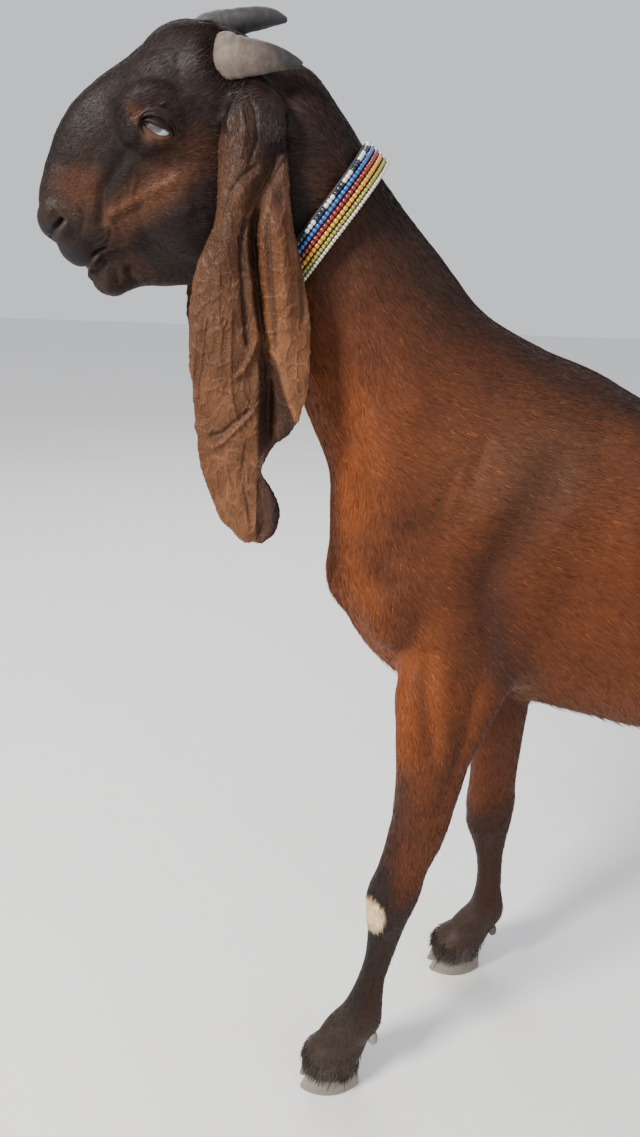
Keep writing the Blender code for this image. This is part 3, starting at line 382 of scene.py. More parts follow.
# The same kind of station down each leg, with the front and the back outline points
NEAR_FORELEG = stations(
    (-165, 650, -20, 650, -66, 30), (-184, 590, -38, 600, -74, 36), (-181, 545, -62, 550, -82, 36),
    (-178, 505, -84, 507, -88, 34), (-175, 460, -95, 462, -91, 31), (-177, 420, -102, 422, -94, 28),
    (-183, 380, -112, 383, -97, 25.5), (-192, 342, -127, 348, -100, 24.5),
    (-201, 312, -134, 320, -101, 25.5), (-203, 284, -141, 290, -102, 24.5),
    (-198, 252, -151, 256, -103, 19.5), (-199, 210, -161, 213, -104, 16),
    (-208, 168, -169, 173, -105, 16.5), (-224, 124, -169, 128, -106, 23), (-247, 94, -168, 96, -107, 27),
    (-264, 66, -173, 64, -108, 30), (-270, 40, -181, 36, -108, 31), (-268, 14, -186, 10, -108, 29))

FAR_FORELEG = stations(
    (-135, 650, 40, 650, 64, 30), (-115, 590, 48, 600, 72, 36), (-85, 545, 42, 550, 80, 36),
    (-62, 505, 36, 507, 84, 34), (-48, 460, 33, 462, 87, 31), (-41, 420, 32, 420, 89, 28),
    (-38, 380, 32, 380, 91, 25.5), (-37, 342, 32, 342, 92, 24.5), (-37, 305, 33, 310, 93, 25.5),
    (-33, 270, 33, 275, 93, 24.5), (-20, 238, 30, 240, 94, 19.5), (-10, 200, 30, 200, 95, 16.5),
    (-7, 155, 34, 155, 96, 16.5), (-14, 112, 42, 115, 97, 23), (-36, 84, 44, 86, 98, 27),
    (-53, 60, 37, 60, 99, 30), (-60, 40, 28, 36, 100, 31), (-58, 14, 22, 10, 100, 29))

HINDLEG = stations(
    (425, 800, 640, 780, 66, 40), (395, 730, 655, 720, 76, 50), (378, 665, 646, 660, 82, 53),
    (372, 605, 620, 612, 86, 50), (386, 552, 596, 568, 89, 44), (424, 498, 586, 528, 90, 37),
    (470, 444, 596, 482, 91, 30), (520, 396, 620, 436, 92, 24), (563, 350, 652, 390, 93, 23),
    (588, 308, 662, 345, 94, 24), (600, 265, 650, 285, 94, 20.5), (604, 220, 642, 230, 95, 16.5),
    (602, 165, 642, 170, 96, 16.5), (594, 120, 648, 125, 97, 22.5), (574, 90, 649, 94, 98, 26.5),
    (560, 64, 645, 62, 99, 29), (555, 40, 636, 36, 100, 30), (557, 14, 632, 10, 100, 28))
NEAR_HIND_SHIFT = 0.030
FAR_HIND_SHIFT = -0.045

# Stations of the skull and muzzle in the head's own frame: (forward, up) above and below
SKULL_STATIONS = stations(
    (-122, -12, -122, -70, 0, 26), (-103, 26, -108, -98, 0, 43), (-73, 51, -80, -110, 0, 51, -0.04),
    (-40, 61, -45, -108, 0, 53, -0.06), (-8, 65, -10, -104, 0, 53, -0.06), (22, 69, 22, -100, 0, 48, 0.02),
    (48, 69, 50, -94, 0, 43, 0.08), (74, 64, 78, -86, 0, 39, 0.1), (100, 55, 103, -74, 0, 35, 0.1),
    (123, 44, 124, -60, 0, 32, 0.06), (141, 33, 141, -52, 0, 28), (153, 19, 154, -46, 0, 22),
    (160, 2, 161, -38, 0, 12))

JAW_STATIONS = stations(
    (-50, -50, -45, -120, 0, 36), (-15, -50, -5, -148, 0, 43), (25, -50, 35, -154, 0, 41),
    (58, -50, 70, -146, 0, 36), (88, -45, 99, -127, 0, 30), (114, -45, 123, -106, 0, 25),
    (137, -45, 143, -94, 0, 23), (153, -48, 158, -86, 0, 18), (163, -53, 166, -78, 0, 8))

# Rounded masses in the head's frame: (forward, out from the middle, up) and radii, in millimetres
HEAD_MASSES = metres((
    ((-45, 0, 22), (50, 46, 42)), ((-1, 40, 15), (39, 24.5, 32)), ((20, 30, -70), (62, 28, 66)),
    ((-66, 34, 0), (40, 26, 40)), ((136, 15.5, 4), (26, 17, 26)), ((142, 14, -26), (23, 17, 26)),
    ((146, 0, -72), (21, 21, 19)), ((-80, 30, 18), (22, 18, 18)), ((-80, 44, -36), (26, 16, 24))))

# Rounded masses of the body: centre and radii in millimetres, tilt in the side view in degrees
BODY_MASSES = [(*metres(row), tilt) for *row, tilt in (
    ((-100, -70, 780), (62, 38, 150), 22), ((-90, -72, 655), (85, 38, 72), 35),
    ((-188, -66, 690), (40, 36, 55), 0), ((-80, 70, 780), (62, 38, 150), 20),
    ((-55, 72, 655), (85, 38, 72), 35), ((-160, 66, 690), (44, 36, 55), 0),
    ((520, -62, 750), (120, 60, 120), 0), ((500, 62, 750), (120, 60, 120), 0),
    ((455, -70, 848), (60, 40, 36), 0), ((455, 70, 848), (60, 40, 36), 0),
    ((-232, 0, 712), (34, 48, 55), 0))]

# Middle of each horn in the head's frame, half its depth and half its thickness; the far one lies higher
HORN_STATIONS = {
    -1: metres((
        ((-74, 14, 15), 15, 11), ((-86, 31, 12), 19, 13.5), ((-91.5, 45, 7.5), 19.6, 14.2),
        ((-104, 50, -2.3), 16.5, 12.8), ((-120.5, 52, -16.8), 11.8, 9.5), ((-131.8, 52.5, -30), 6.4, 6.2),
        ((-137.5, 53, -38.6), 2.8, 3))),
    1: metres((
        ((-70, 24, 29), 15, 14), ((-87, 27.5, 29), 14.5, 14), ((-105, 30.5, 20.5), 13.2, 12.5),
        ((-127, 34, 7.8), 11.4, 10.5), ((-143, 38, -4), 8.8, 8.2), ((-150.8, 41, -12.5), 5, 5.2),
        ((-154.5, 42, -16.8), 2.4, 2.8))),
}
HORN_LEAN = math.radians(30.0)

# The hanging ear seen from its side: drop below the root, front edge, back edge, and where the
# rolled ridge runs, all in millimetres from the root
EAR_ROWS = metres((
    (0, -30, 28, 12), (22, -31, 29, 14), (50, -31, 31, 10), (80, -34, 34, -4), (108, -40, 38, -8),
    (135, -53, 45, -6), (160, -60, 51, -3), (190, -64, 56, 1), (220, -64, 58, 5), (250, -62, 57, 8),
    (278, -60, 52, 8), (300, -58, 44, 8), (318, -56, 26, 10), (332, -54, 14, 10), (346, -51, 11, 9),
    (362, -46, 22, 12), (380, -39, 30, 15), (398, -30, 30, 15), (412, -18, 23, 10), (420, -6, 12, 6)))
EAR_ROOT = (-0.083, 0.060, -0.036)
EAR_ROOT_RADII = (0.029, 0.021, 0.029)

TAIL_STATIONS = stations(
    (600, 888, 612, 840, 0, 26), (640, 878, 632, 835, 0, 24), (672, 852, 655, 822, 0, 20),
    (692, 815, 672, 796, 0, 16), (700, 775, 684, 768, 0, 11), (702, 745, 692, 742, 0, 6))


LEG_TABLES = (
    ("foreleg_left", NEAR_FORELEG, 1, 0.0),
    ("foreleg_right", FAR_FORELEG, 1, 0.0),
    ("hindleg_left", HINDLEG, -1, NEAR_HIND_SHIFT),
    ("hindleg_right", HINDLEG, 1, FAR_HIND_SHIFT),
)
HOOF_HEIGHT = 0.032
HEEL_HEIGHT = 0.024
HOOF_CUT = 0.016
HOOF_EDGE = 0.0265
CLAW_RINGS = 22

# The collar's middle line seen from the side: above and below, in the frame with x 0 at the withers
COLLAR_TOP = (-0.2385, 1.1580)
COLLAR_BOTTOM = (-0.3420, 1.0190)
COLLAR_MIDDLE_Y = -0.002
COLLAR_SEGMENTS = 26
COLLAR_STEPS = 720


def slab_path(table, steps, side=1.0, shift=0.0):
    """Stations as rows of seven numbers, moved to their side and place, with smooth steps between them."""
    rows = [(a[0] + shift, a[1], b[0] + shift, b[1], y * side, w, k) for a, b, y, w, k in table]
    return smooth_path(rows, steps)


def slab_form(table, matrix=None, side=1.0, shift=0.0, points=48, power=2.3):
    """A closed form lofted through flattened sections, each set by two outline points and a half width."""
    angles = circle(points)
    s, c = np.sin(angles), np.cos(angles)
    along = np.sign(s) * np.abs(s) ** (2 / power)
    over = np.sign(c) * np.abs(c) ** (2 / power)
    rings = []
    for ax, az, bx, bz, y, width, bulge in slab_path(table, 8, side, shift):
        across = over * width * (1 - bulge * along / 0.5)
        rings.append(np.stack([(ax + bx) / 2 + (ax - bx) / 2 * along, y + across,
                               (az + bz) / 2 + (az - bz) / 2 * along], 1))
    points, faces = closed_loft(rings)
    return to_row(points, matrix), faces


def to_row(points, matrix=None):
    """Points of the withers' frame, or of the head's if its matrix is given, in the row frame."""
    return points + np.array(WITHERS) if matrix is None else moved(points, matrix)


def mass_form(centre, radii, tilt=0.0, matrix=None):
    """An ellipsoid, tilted in the side view."""
    levels = np.linspace(0, math.pi, 18)[1:-1]
    angles = circle(32)
    rings = [np.stack([np.cos(angles) * math.sin(v), np.sin(angles) * math.sin(v),
                       np.full(32, math.cos(v))], 1) for v in levels]
    points, faces = closed_loft(rings)
    points *= np.array(radii)
    t = math.radians(tilt)
    points = points @ np.array([[math.cos(t), 0, -math.sin(t)], [0, 1, 0], [math.sin(t), 0, math.cos(t)]])
    return to_row(points + np.array(centre), matrix), faces


def head_forms():
    forms = [slab_form(SKULL_STATIONS, HEAD, power=2.5), slab_form(JAW_STATIONS, HEAD, power=2.4)]
    for (x, y, z), radii in HEAD_MASSES:
        for side in ((1,) if y == 0 else (-1, 1)):
            forms.append(mass_form((x, y * side, z), radii, matrix=HEAD))
    return forms


def body_forms():
    forms = [slab_form(TRUNK_STATIONS)]
    forms += [slab_form(table, side=side, shift=shift) for name, table, side, shift in LEG_TABLES]
    forms += [mass_form(centre, radii, tilt) for centre, radii, tilt in BODY_MASSES]
    forms.append(slab_form(TAIL_STATIONS, power=2.0, points=24))
    return forms


def fused(name, forms, voxel):
    """One even skin round overlapping closed forms."""
    mesh = mesh_from_arrays(name, *joined(forms))
    outward(mesh)
    ob = new_object(name, mesh)
    remesh = ob.modifiers.new("fuse", "REMESH")
    remesh.mode = "VOXEL"
    remesh.voxel_size = voxel
    remesh.adaptivity = 0.0
    return settle(ob)


def cut_at_collar(mesh, keep_head):
    """Removes what lies beyond the collar's middle plane, which the collar hides."""
    middle, rise, axis = collar_frame()
    toward_body = axis if axis.x > 0 else -axis
    bm = bmesh.new()
    bm.from_mesh(mesh)
    points = points_of(mesh)
    on_ear = on_ears(points) > 0.4
    bm.verts.ensure_lookup_table()
    faces = [f for f in bm.faces if not (keep_head and all(on_ear[v.index] for v in f.verts))]
    edges = list({e for f in faces for e in f.edges})
    verts = list({v for f in faces for v in f.verts})
    bmesh.ops.bisect_plane(bm, geom=verts + edges + faces, plane_co=middle, plane_no=toward_body,
                           clear_outer=keep_head, clear_inner=not keep_head)
    bm.to_mesh(mesh)
    bm.free()


def collar_frame():
    """The collar's middle, the direction from throat to crest, and its axis along the neck."""
    top = Vector((COLLAR_TOP[0], COLLAR_MIDDLE_Y, COLLAR_TOP[1])) + WITHERS
    bottom = Vector((COLLAR_BOTTOM[0], COLLAR_MIDDLE_Y, COLLAR_BOTTOM[1])) + WITHERS
    rise = (top - bottom).normalized()
    axis = Vector((0, 1, 0)).cross(rise).normalized()
    return (top + bottom) / 2, rise, axis


# The ear

EAR_WALL = 0.0034
EAR_STALK = metres((
    (-24, 20, 17, -6), (-6, 24, 20, -3), (6, 28, 19, 6), (13, 29, 15, 16), (18, 26, 9, 27)))
EAR_LONG = 190
EAR_WIDE = 64


def ramp(values, start, end):
    return np.clip((values - start) / (end - start), 0.0, 1.0)


# Folds and veins of the ear, as (width, depth, points), all in millimetres; a point is (across, drop)
EAR_LINES = (
    (2.6, 3.0, ((26, 42), (14, 62), (2, 82), (-7, 100), (-8, 119), (-6, 139), (-2, 172), (3, 203), (4, 209),
                (0, 221), (-8, 238), (-16, 246))),
    (2.4, -3.2, ((-8, 100), (-13, 118), (-12, 140), (-10, 170), (-7, 200), (-6, 214))),
    (2.2, -3.0, ((2, 92), (-1, 120), (2, 150), (5, 180), (9, 205), (10, 226))),
    (4.5, 2.2, ((5, 104), (7, 140), (9, 180), (13, 210))),
    (2.4, -2.4, ((12, 96), (14, 130), (16, 160), (20, 190), (21, 215))),
    (8.5, 3.2, ((22, 98), (28, 130), (31, 165), (34, 195))),
    (2.6, -2.4, ((37, 100), (44, 130), (46, 160), (48, 190))),
    (1.7, 1.9, ((-46, 190), (-47, 203), (-50, 225), (-51, 237), (-54, 252), (-55, 268))),
    (1.8, -1.5, ((-50, 200), (-54, 226), (-55, 240), (-58, 256))),
    (2.0, 2.2, ((2, 280), (-12, 295), (-24, 307), (-30, 313), (-40, 318))),
    (2.2, -1.6, ((-4, 279), (-16, 290), (-28, 301), (-40, 306))),
    (1.8, 1.4, ((-21, 183), (-22, 230), (-20, 268), (-15, 289))),
    (1.7, 1.2, ((-33, 150), (-34, 180), (-30, 205), (-33, 232))),
    (1.6, 1.1, ((-8, 238), (-10, 258), (-4, 272), (2, 280))),
    (1.5, 1.0, ((-21, 230), (-34, 236), (-47, 232))),
    (1.5, 1.0, ((-20, 262), (-36, 258), (-48, 262))),
    (1.5, 1.0, ((-34, 168), (-46, 176), (-57, 190))),
    (1.6, 1.1, ((-9, 150), (-21, 162), (-33, 158))),
    (1.6, -1.1, ((-6, 315), (-10, 345), (-4, 372), (0, 396))),
    (1.6, -1.0, ((8, 352), (6, 378), (8, 400))),
    (2.4, -2.0, ((-8, -8), (-1, 6), (1, 28), (-6, 50))),
    (2.2, 1.3, ((-14, 0), (-10, 24), (-14, 44))),
    (2.4, -1.8, ((0, 52), (-14, 63), (-23, 76), (-27, 92))),
    (3.0, 1.4, ((6, 56), (-8, 68), (-16, 84))),
)
# The rear edge of the web between the ear's folds: drops, and the place across at each
EAR_REAR_LINE = ((0.150, 0.190, 0.222, 0.250, 0.275, 0.295, 0.330),
                 (0.008, 0.014, 0.021, 0.029, 0.037, 0.045, 0.060))


def ear_surface(side):
    """Points of the ear's middle surface as a grid, with the drop and the place across of each."""
    root = np.array(head_point(*EAR_ROOT, side))
    rows = smooth_path(EAR_ROWS, 12)
    length = rows[-1, 0]
    places = np.linspace(0, len(rows) - 1, EAR_LONG)
    table = np.stack([np.interp(places, np.arange(len(rows)), rows[:, k]) for k in range(4)], 1)
    t = np.linspace(0, 1, EAR_WIDE)[None, :]
    drop, front, back, ridge = (table[:, k:k + 1] for k in range(4))
    s = drop / length
    t_ridge = np.maximum((ridge - front) / (back - front), 0.05)
    folded = ramp(s, 0.0, 0.12) * (1 - ramp(s, 0.70, 0.82))
    hang = 0.030 * np.sin(ramp(s, 0.0, 0.30) * math.pi / 2) + 0.012 * s
    web = 0.012 * ramp(s, 0.58, 0.66) * (1 - ramp(s, 0.75, 0.80))
    nick = 0.0013 * np.sin(drop * 190 + 4 * np.sin(drop * 43)) * np.sin(drop * 57)
    nick = nick * smoothstep(s, 0.3, 0.55)
    front = front - 0.0055 * bump(drop - 0.040, 0.045)
    across = front + nick + (back - front - nick * 0.6) * t
    beyond = across - ridge
    out = 0.010 * np.sin(math.pi * np.clip(t / t_ridge, 0, 1)) * (1 - 0.4 * s)
    out = out + 0.006 * np.sin(math.pi * np.clip((t - t_ridge) / np.maximum(1 - t_ridge, 0.05), 0, 1))
    out += 0.004 * bump(beyond + 0.002, 0.005) * folded
    out -= 0.014 * bump(beyond - 0.008, 0.008) * folded
    rear = np.interp(drop, *EAR_REAR_LINE)
    past_rear = 1 - 0.85 / (1 + np.exp(-(across - rear) / 0.002))
    out -= web / (1 + np.exp(-(beyond - 0.002) / 0.002)) * past_rear
    out -= 0.006 * np.exp(-((across - 0.022) / 0.010) ** 2 - ((drop - 0.078) / 0.018) ** 2)
    out -= 0.010 * (1 - s) * (2 * t - 1) ** 2
    flat = np.stack([across * 1000, np.broadcast_to(drop * 1000, across.shape)], 2).reshape(-1, 2)
    for width, depth, line in EAR_LINES:
        out += (depth * 0.001 * near_line(flat, line, width)).reshape(out.shape)
    wave = np.sin(drop * 95 + beyond * 60) * np.sin(drop * 37 + 1.3 + across * 90)
    out += 0.0016 * wave * smoothstep(s, 0.2, 0.5)
    points = np.stack([across + 0 * out, side * (hang + out), -np.broadcast_to(drop, out.shape)], 2)
    return root + points, flat


def ear_form(side):
    """A closed sheet of real thickness through the ear's middle surface."""
    middle, flat = ear_surface(side)
    normal = np.cross(np.gradient(middle, axis=0), np.gradient(middle, axis=1))
    normal /= np.linalg.norm(normal, axis=2, keepdims=True) + 1e-12
    rim = np.minimum(np.arange(EAR_WIDE), np.arange(EAR_WIDE)[::-1]) / 3.0
    wall = EAR_WALL / 2 * np.clip(0.35 + rim, 0, 1)[None, :, None]
    return closed_loft(np.concatenate([middle + normal * wall, (middle - normal * wall)[:, ::-1]], axis=1))


def stalk_form(side):
    """The stalk that carries the ear out of the head."""
    root = np.array(head_point(*EAR_ROOT, side))
    angles = circle(32)
    x, z = np.cos(angles), np.sin(angles)
    return closed_loft([root + np.stack([x * long, np.full(32, side * out), z * high - drop], 1)
                        for out, long, high, drop in smooth_path(EAR_STALK, 4)])


# Skin

HEAD_SKIN_VOXEL = 0.0016
BODY_SKIN_VOXEL = 0.0036
HEAD_SHARE = 0.42
BODY_SHARE = 0.36
HEAD_DEPTH = 0.0008
EAR_DEPTH = 0.0002
BODY_DEPTH = 0.0015


def ear_reach(points, side):
    """0 on the head and 1 on the ear, with a soft border round the stalk."""
    local = points - np.array(head_point(*EAR_ROOT, side))
    outward_side = local[:, 1] * side
    beyond = smoothstep(outward_side, 0.004, 0.016)
    below = smoothstep(-local[:, 2], 0.016, 0.034) * smoothstep(outward_side, -0.004, 0.008)
    return np.maximum(beyond, below) * (np.abs(local[:, 0]) < 0.075)


def on_ears(points):
    return np.maximum(ear_reach(points, -1), ear_reach(points, 1))


def ear_flat(points, side):
    """Drop below the ear's root and place across the ear, of points near it."""
    local = points - np.array(head_point(*EAR_ROOT, side))
    return -local[:, 2], local[:, 0]


def ear_net(across, drop):
    """A net of branching veins over the ear: ridges where slow noise passes through nothing."""
    places = np.stack([across * 1.25, drop * 0.80, 0 * drop], 1)
    wide = bump(value_noise(places, 0.021, 35) + 0.3 * value_noise(places, 0.008, 36), 0.14)
    return np.maximum(wide, 0.7 * bump(value_noise(places, 0.012, 37), 0.16)) - 0.35


NOSTRIL_LINE = metres(((133.7, 33, 5.8), (142.3, 30.5, 5.1), (151.5, 26, 3.2), (159, 19.5, -0.2)))
MOUTH_LINE = metres(((166, 0, -48), (160, 12, -45.5), (151.7, 20, -42.5), (143.3, 23.5, -40),
                     (134.9, 26.5, -40), (124, 29.5, -42.5)))
LIP_LINE = metres(((158, 12, -50), (150.5, 20, -45.9), (142.9, 23.5, -43.6), (134.8, 26.5, -44.1),
                   (127.6, 28.5, -46)))
TEAR_LINE = metres(((18, 56, 12), (50, 43, 9), (81, 37, -1), (104, 35.5, -20)))

# Lines on one side of the head: how far the surface moves along them, over what width, and how far
# from the line; the first five in metres, the others in millimetres
HEAD_LINES = (
    (NOSTRIL_LINE, -0.0082, 0.0022),
    (MOUTH_LINE, -0.005, 0.0019),
    (LIP_LINE, 0.0018, 0.002),
    (TEAR_LINE, -0.0026, 0.006),
    (TEAR_LINE, 0.001, 0.005, 0.01),
) + metres((
    (((134.3, 33, 0), (144.9, 30, -1.4), (155.8, 23, -4.2)), 1.6, 3),
    (((137.8, 29, 19), (144.8, 27, 12.3), (153.8, 23, 7.8)), 1.8, 4.2),
    (((132.5, 33, 9.5), (131, 32.5, 15.9), (131, 30, 21.3)), -1.3, 2.2),
    (((125.7, 33.5, 18.2), (115.2, 34.5, 13.2), (111.3, 35, 3.2), (114.5, 33.5, -6.6), (128.1, 31, -14.2)),
     -1.5, 3.4),
    (((166, 0, -56), (158, 13, -55), (146, 22.5, -52), (130, 27.5, -51), (118, 30, -50)), 1.2, 3.4),
    (((134.6, 26.5, -51.8), (142.4, 24, -63.3), (153.9, 18, -75.8)), 1.8, 4.2),
    (((124, 29.5, -52), (130, 27, -64), (139, 22, -76)), -1.4, 3.4),
    (((118, 32, -41), (110, 34.5, -36), (104, 35.5, -31)), -1.2, 2.4),
    (((114, 33, -46), (104, 35.5, -50), (96, 37, -55)), -1.2, 2.6),
    (((112.5, 33, -33), (119, 33, -34), (129, 30, -31)), -1.2, 2.2),
    (((110, 34, -28), (120, 34, -27)), -1, 2),
    (((114, 33, -38), (124, 31, -38.5)), -1, 1.8),
    (((94, 37, -21), (60, 43, -27.5), (21, 53, -35.5)), 1.6, 4),
    (((96, 37, -29), (62, 43, -36), (28, 52, -44)), -1.8, 4.2),
    (((84, 40.5, -46), (56, 48, -56), (30, 56, -64)), 1.2, 6),
    (((78, 40.5, -60), (54, 48, -72), (30, 54, -80)), -1.2, 5),
    (((60, 40, -90), (25, 50, -105), (-12, 50, -100)), -1.6, 7),
    (((30, 42, 30), (62, 38, 22), (92, 35, 12)), 1.2, 5),
    (((84, 37, -4), (92, 37, -12), (98, 36, -22)), 1, 2.4),
    (((36, 50, 2), (50, 44, -12), (64, 42, -20)), 1.1, 2),
    (((18, 40, 44), (-4, 50, 42), (-24, 54, 30), (-36, 56, 10)), 2.6, 8),
    (((24, 50, 30), (6, 60, 34), (-12, 64, 28)), -1.6, 4),
    (((-52, 50, 4), (-58, 50, -20)), -2.4, 9),
    (((124, 0, -92), (124, 14, -88), (121, 24, -76)), -4.2, 6),
    (((150, 0, -86), (149, 14, -82)), 4.2, 11),
    (((150, 18, -66), (146, 20, -74)), 2.4, 8)))

# Folds and bones of the body's left and right sides: the surface moves along lines seen from the
# side, (x, z) with x 0 at the withers. Each row: side or 0 for both, depth, width, line, in millimetres
BODY_LINES = [(side, *metres(row)) for side, *row in (
    (-1, -4.5, 24, ((-36, 870), (-39, 842), (-67, 789), (-86, 749), (-83, 671), (-84, 615))),
    (-1, -4, 34, ((-86, 740), (-80, 671), (-78, 600))),
    (-1, 1.4, 36, ((0, 830), (-22, 760), (-30, 690))),
    (-1, 2.5, 26, ((-105, 800), (-125, 740), (-130, 680))),
    (-1, -1.6, 7.5, ((-108, 893), (-115, 870), (-119, 852))),
    (-1, -1.4, 7.5, ((-136, 862), (-146, 840), (-149, 822))),
    (-1, 1.6, 18, ((-139, 772), (-158, 737), (-165, 704), (-160, 675))),
    (-1, -2.6, 20, ((-175, 790), (-190, 745), (-194, 706), (-186, 662))),
    (-1, 1, 22, ((-66, 945), (-76, 912), (-86, 868), (-95, 824))),
    (-1, -3.5, 30, ((20, 900), (24, 840), (16, 760), (0, 690))),
    (-1, -5.5, 18, ((-259, 870), (-240, 796), (-206, 756))),
    (-1, 2.5, 24, ((-225, 900), (-200, 830), (-175, 780))),
    (-1, -3.5, 20, ((-280, 1000), (-262, 930), (-250, 880))),
    (-1, 2, 18, ((-240, 1060), (-210, 990), (-180, 930))),
    (-1, -3.5, 11, ((-150, 640), (-150, 590), (-138, 530))),
    (-1, 2.4, 13, ((-128, 620), (-124, 560), (-124, 500))),
    (-1, -4, 11, ((-90, 600), (-98, 550), (-112, 500), (-120, 440))),
    (-1, 2, 9, ((-80, 575), (-88, 520), (-100, 455))),
    (0, -6, 40, ((400, 800), (440, 760))),
    (0, 5, 20, ((440, 872), (470, 868))),
    (0, 4, 30, ((375, 640), (385, 700), (410, 740))),
    (0, -4.5, 16, ((560, 800), (585, 720), (575, 640), (545, 560))),
    (0, 3, 16, ((610, 800), (625, 720))),
    (1, -7, 18, ((-20, 880), (-40, 800), (-60, 740), (-50, 650))),
    (1, 3, 24, ((-90, 830), (-110, 760), (-100, 690))),
    (1, -4.5, 14, ((-140, 800), (-165, 740), (-160, 680))),
    (1, -5, 18, ((-259, 870), (-240, 796), (-206, 756))))]
RIB_PLACES = (0.060, 0.100, 0.140, 0.180, 0.220, 0.260, 0.300, 0.340)


def leg_lines(local, normals):
    """Tendons, knees, fetlocks and pasterns of the four legs, as a move along the normals."""
    move = np.zeros(len(local))
    z = local[:, 2]
    for name, leg, side, shift in LEG_TABLES:
        rows = slab_path(leg, 4, side, shift)
        height = (rows[:, 1] + rows[:, 3]) / 2
        order = np.argsort(height)
        front, back, middle, width = (np.interp(z, height[order], rows[order, k]) for k in (0, 2, 4, 5))
        place = (local[:, 0] - front) / np.maximum(back - front, 1e-4)
        mine = (np.abs(local[:, 1] - middle) < width * 1.25 + 0.004) & (place > -0.15) & (place < 1.15)
        mine &= (z < 0.50) & (local[:, 1] * middle > 0)
        outer = np.abs(normals[:, 1])
        fore = name.startswith("fore")
        knee = 0.305 if fore else 0.372
        cannon = smoothstep(z, 0.130, 0.160) * (1 - smoothstep(z, knee - 0.060, knee - 0.030))
        m = -0.0040 * bump(place - 0.58, 0.13) * cannon * outer
        m += 0.0012 * bump(place - 0.86, 0.12) * cannon * outer
        fetlock = bump(z - (0.116 if fore else 0.112), 0.020)
        m += 0.0022 * fetlock * bump(place - 0.45, 0.30) * outer
        m -= 0.0040 * bump(z - 0.080, 0.012) * (0.4 + outer)
        m += 0.0030 * bump(z - 0.048, 0.012) * smoothstep(0.6 - place, 0.0, 0.4)
        if fore:
            m += 0.0026 * bump(z - 0.318, 0.016) * bump(place - 0.35, 0.3) * outer
            m -= 0.0018 * bump(z - 0.288, 0.007) * bump(place - 0.35, 0.4)
            m += 0.0018 * bump(z - 0.270, 0.012) * bump(place - 0.35, 0.3) * outer
            m += 0.0024 * bump(z - 0.312, 0.026) * bump(place - 1.0, 0.14)
        else:
            m += 0.0030 * bump(z - 0.385, 0.022) * bump(place - 0.55, 0.25) * outer
            hollow = 0.0050 * bump(place - 0.70, 0.12) * smoothstep(z, 0.36, 0.40)
            m -= hollow * (1 - smoothstep(z, 0.44, 0.50)) * outer
            m -= 0.0020 * bump(z - 0.340, 0.012) * outer
        move += np.where(mine, m, 0.0)
    return move


def value_noise(points, size, seed=0):
    """Smooth noise between -1 and 1 on an array of points, from a seeded lattice of numbers."""
    rng = np.random.default_rng(seed)
    lattice = rng.uniform(-1, 1, (32, 32, 32))
    scaled = points / size + 1000.0
    base = np.floor(scaled).astype(int)
    part = scaled - base
    part = part * part * (3 - 2 * part)
    total = 0.0
    for dx, dy, dz in product((0, 1), repeat=3):
        wx, wy, wz = (part[:, k] if d else 1 - part[:, k] for k, d in enumerate((dx, dy, dz)))
        corner = lattice[(base[:, 0] + dx) % 32, (base[:, 1] + dy) % 32, (base[:, 2] + dz) % 32]
        total = total + wx * wy * wz * corner
    return total


def body_move(points, normals):
    """How far the body's surface moves along its normals: folds, bones, ribs and unevenness."""
    local = in_goat(points)
    facing = np.clip(np.abs(normals[:, 1]) * 1.3, 0, 1)
    move = np.zeros(len(points))
    for side, depth, width, line in BODY_LINES:
        flat = local[:, (0, 2)]
        rows = np.array(line)
        close = np.all((flat > rows.min(0) - 3 * width) & (flat < rows.max(0) + 3 * width), axis=1)
        close &= (np.sign(local[:, 1]) == side) if side else True
        if close.any():
            move[close] += depth * bump(line_distance(flat[close], line), width) * facing[close]
    x, z = local[:, 0], local[:, 2]
    trunk = smoothstep(z, 0.56, 0.62) * (1 - smoothstep(z, 0.84, 0.90)) * (np.abs(local[:, 1]) > 0.05)
    for place in RIB_PLACES:
        slanted = x - place - (0.75 - z) * 0.22
        move += 0.0014 * bump(slanted, 0.010) * trunk * facing * smoothstep(x, 0.03, 0.07)
    move += leg_lines(local, normals)
    move += 0.0012 * value_noise(local, 0.060, 3) * smoothstep(z, 0.45, 0.60)
    move += 0.0005 * value_noise(local, 0.022, 4) * smoothstep(z, 0.12, 0.30)
    skin_fold = streak(local, 10, (-30, -75, 600), (-21, -62, 577), (-12, 0, 525))
    return move + 0.004 * skin_fold


def head_move(local):
    """How far the head's surface moves along its normals."""
    move = np.zeros(len(local))
    for line, depth, width, *offset in HEAD_LINES:
        move += depth * near_line(local, line, width, *offset)
    move += 0.0014 * spot(local, (125.5, 33.5, 3.3), (9, 12, 10))
    move += 0.0035 * spot(local, (-2, 46, 40), (22, 14, 12))
    move -= 0.0030 * spot(local, (30, 30, 62), (30, 12, 20))
    move += 0.0020 * spot(local, (70, 0, 66), (50, 14, 20))
    move -= 0.0014 * spot(local, (160, 0, -20), (16, 2.5, 30))
    move += 0.0005 * value_noise(local, 0.014, 5) + 0.0002 * value_noise(local, 0.006, 6)
    return move


def subdivide_region(mesh, chosen):
    """Splits the edges whose ends are both chosen, for finer detail there."""
    bm = bmesh.new()
    bm.from_mesh(mesh)
    bm.verts.ensure_lookup_table()
    edges = [e for e in bm.edges if chosen[e.verts[0].index] and chosen[e.verts[1].index]]
    bmesh.ops.subdivide_edges(bm, edges=edges, cuts=1, use_grid_fill=True, smooth=0.0)
    bm.to_mesh(mesh)
    bm.free()


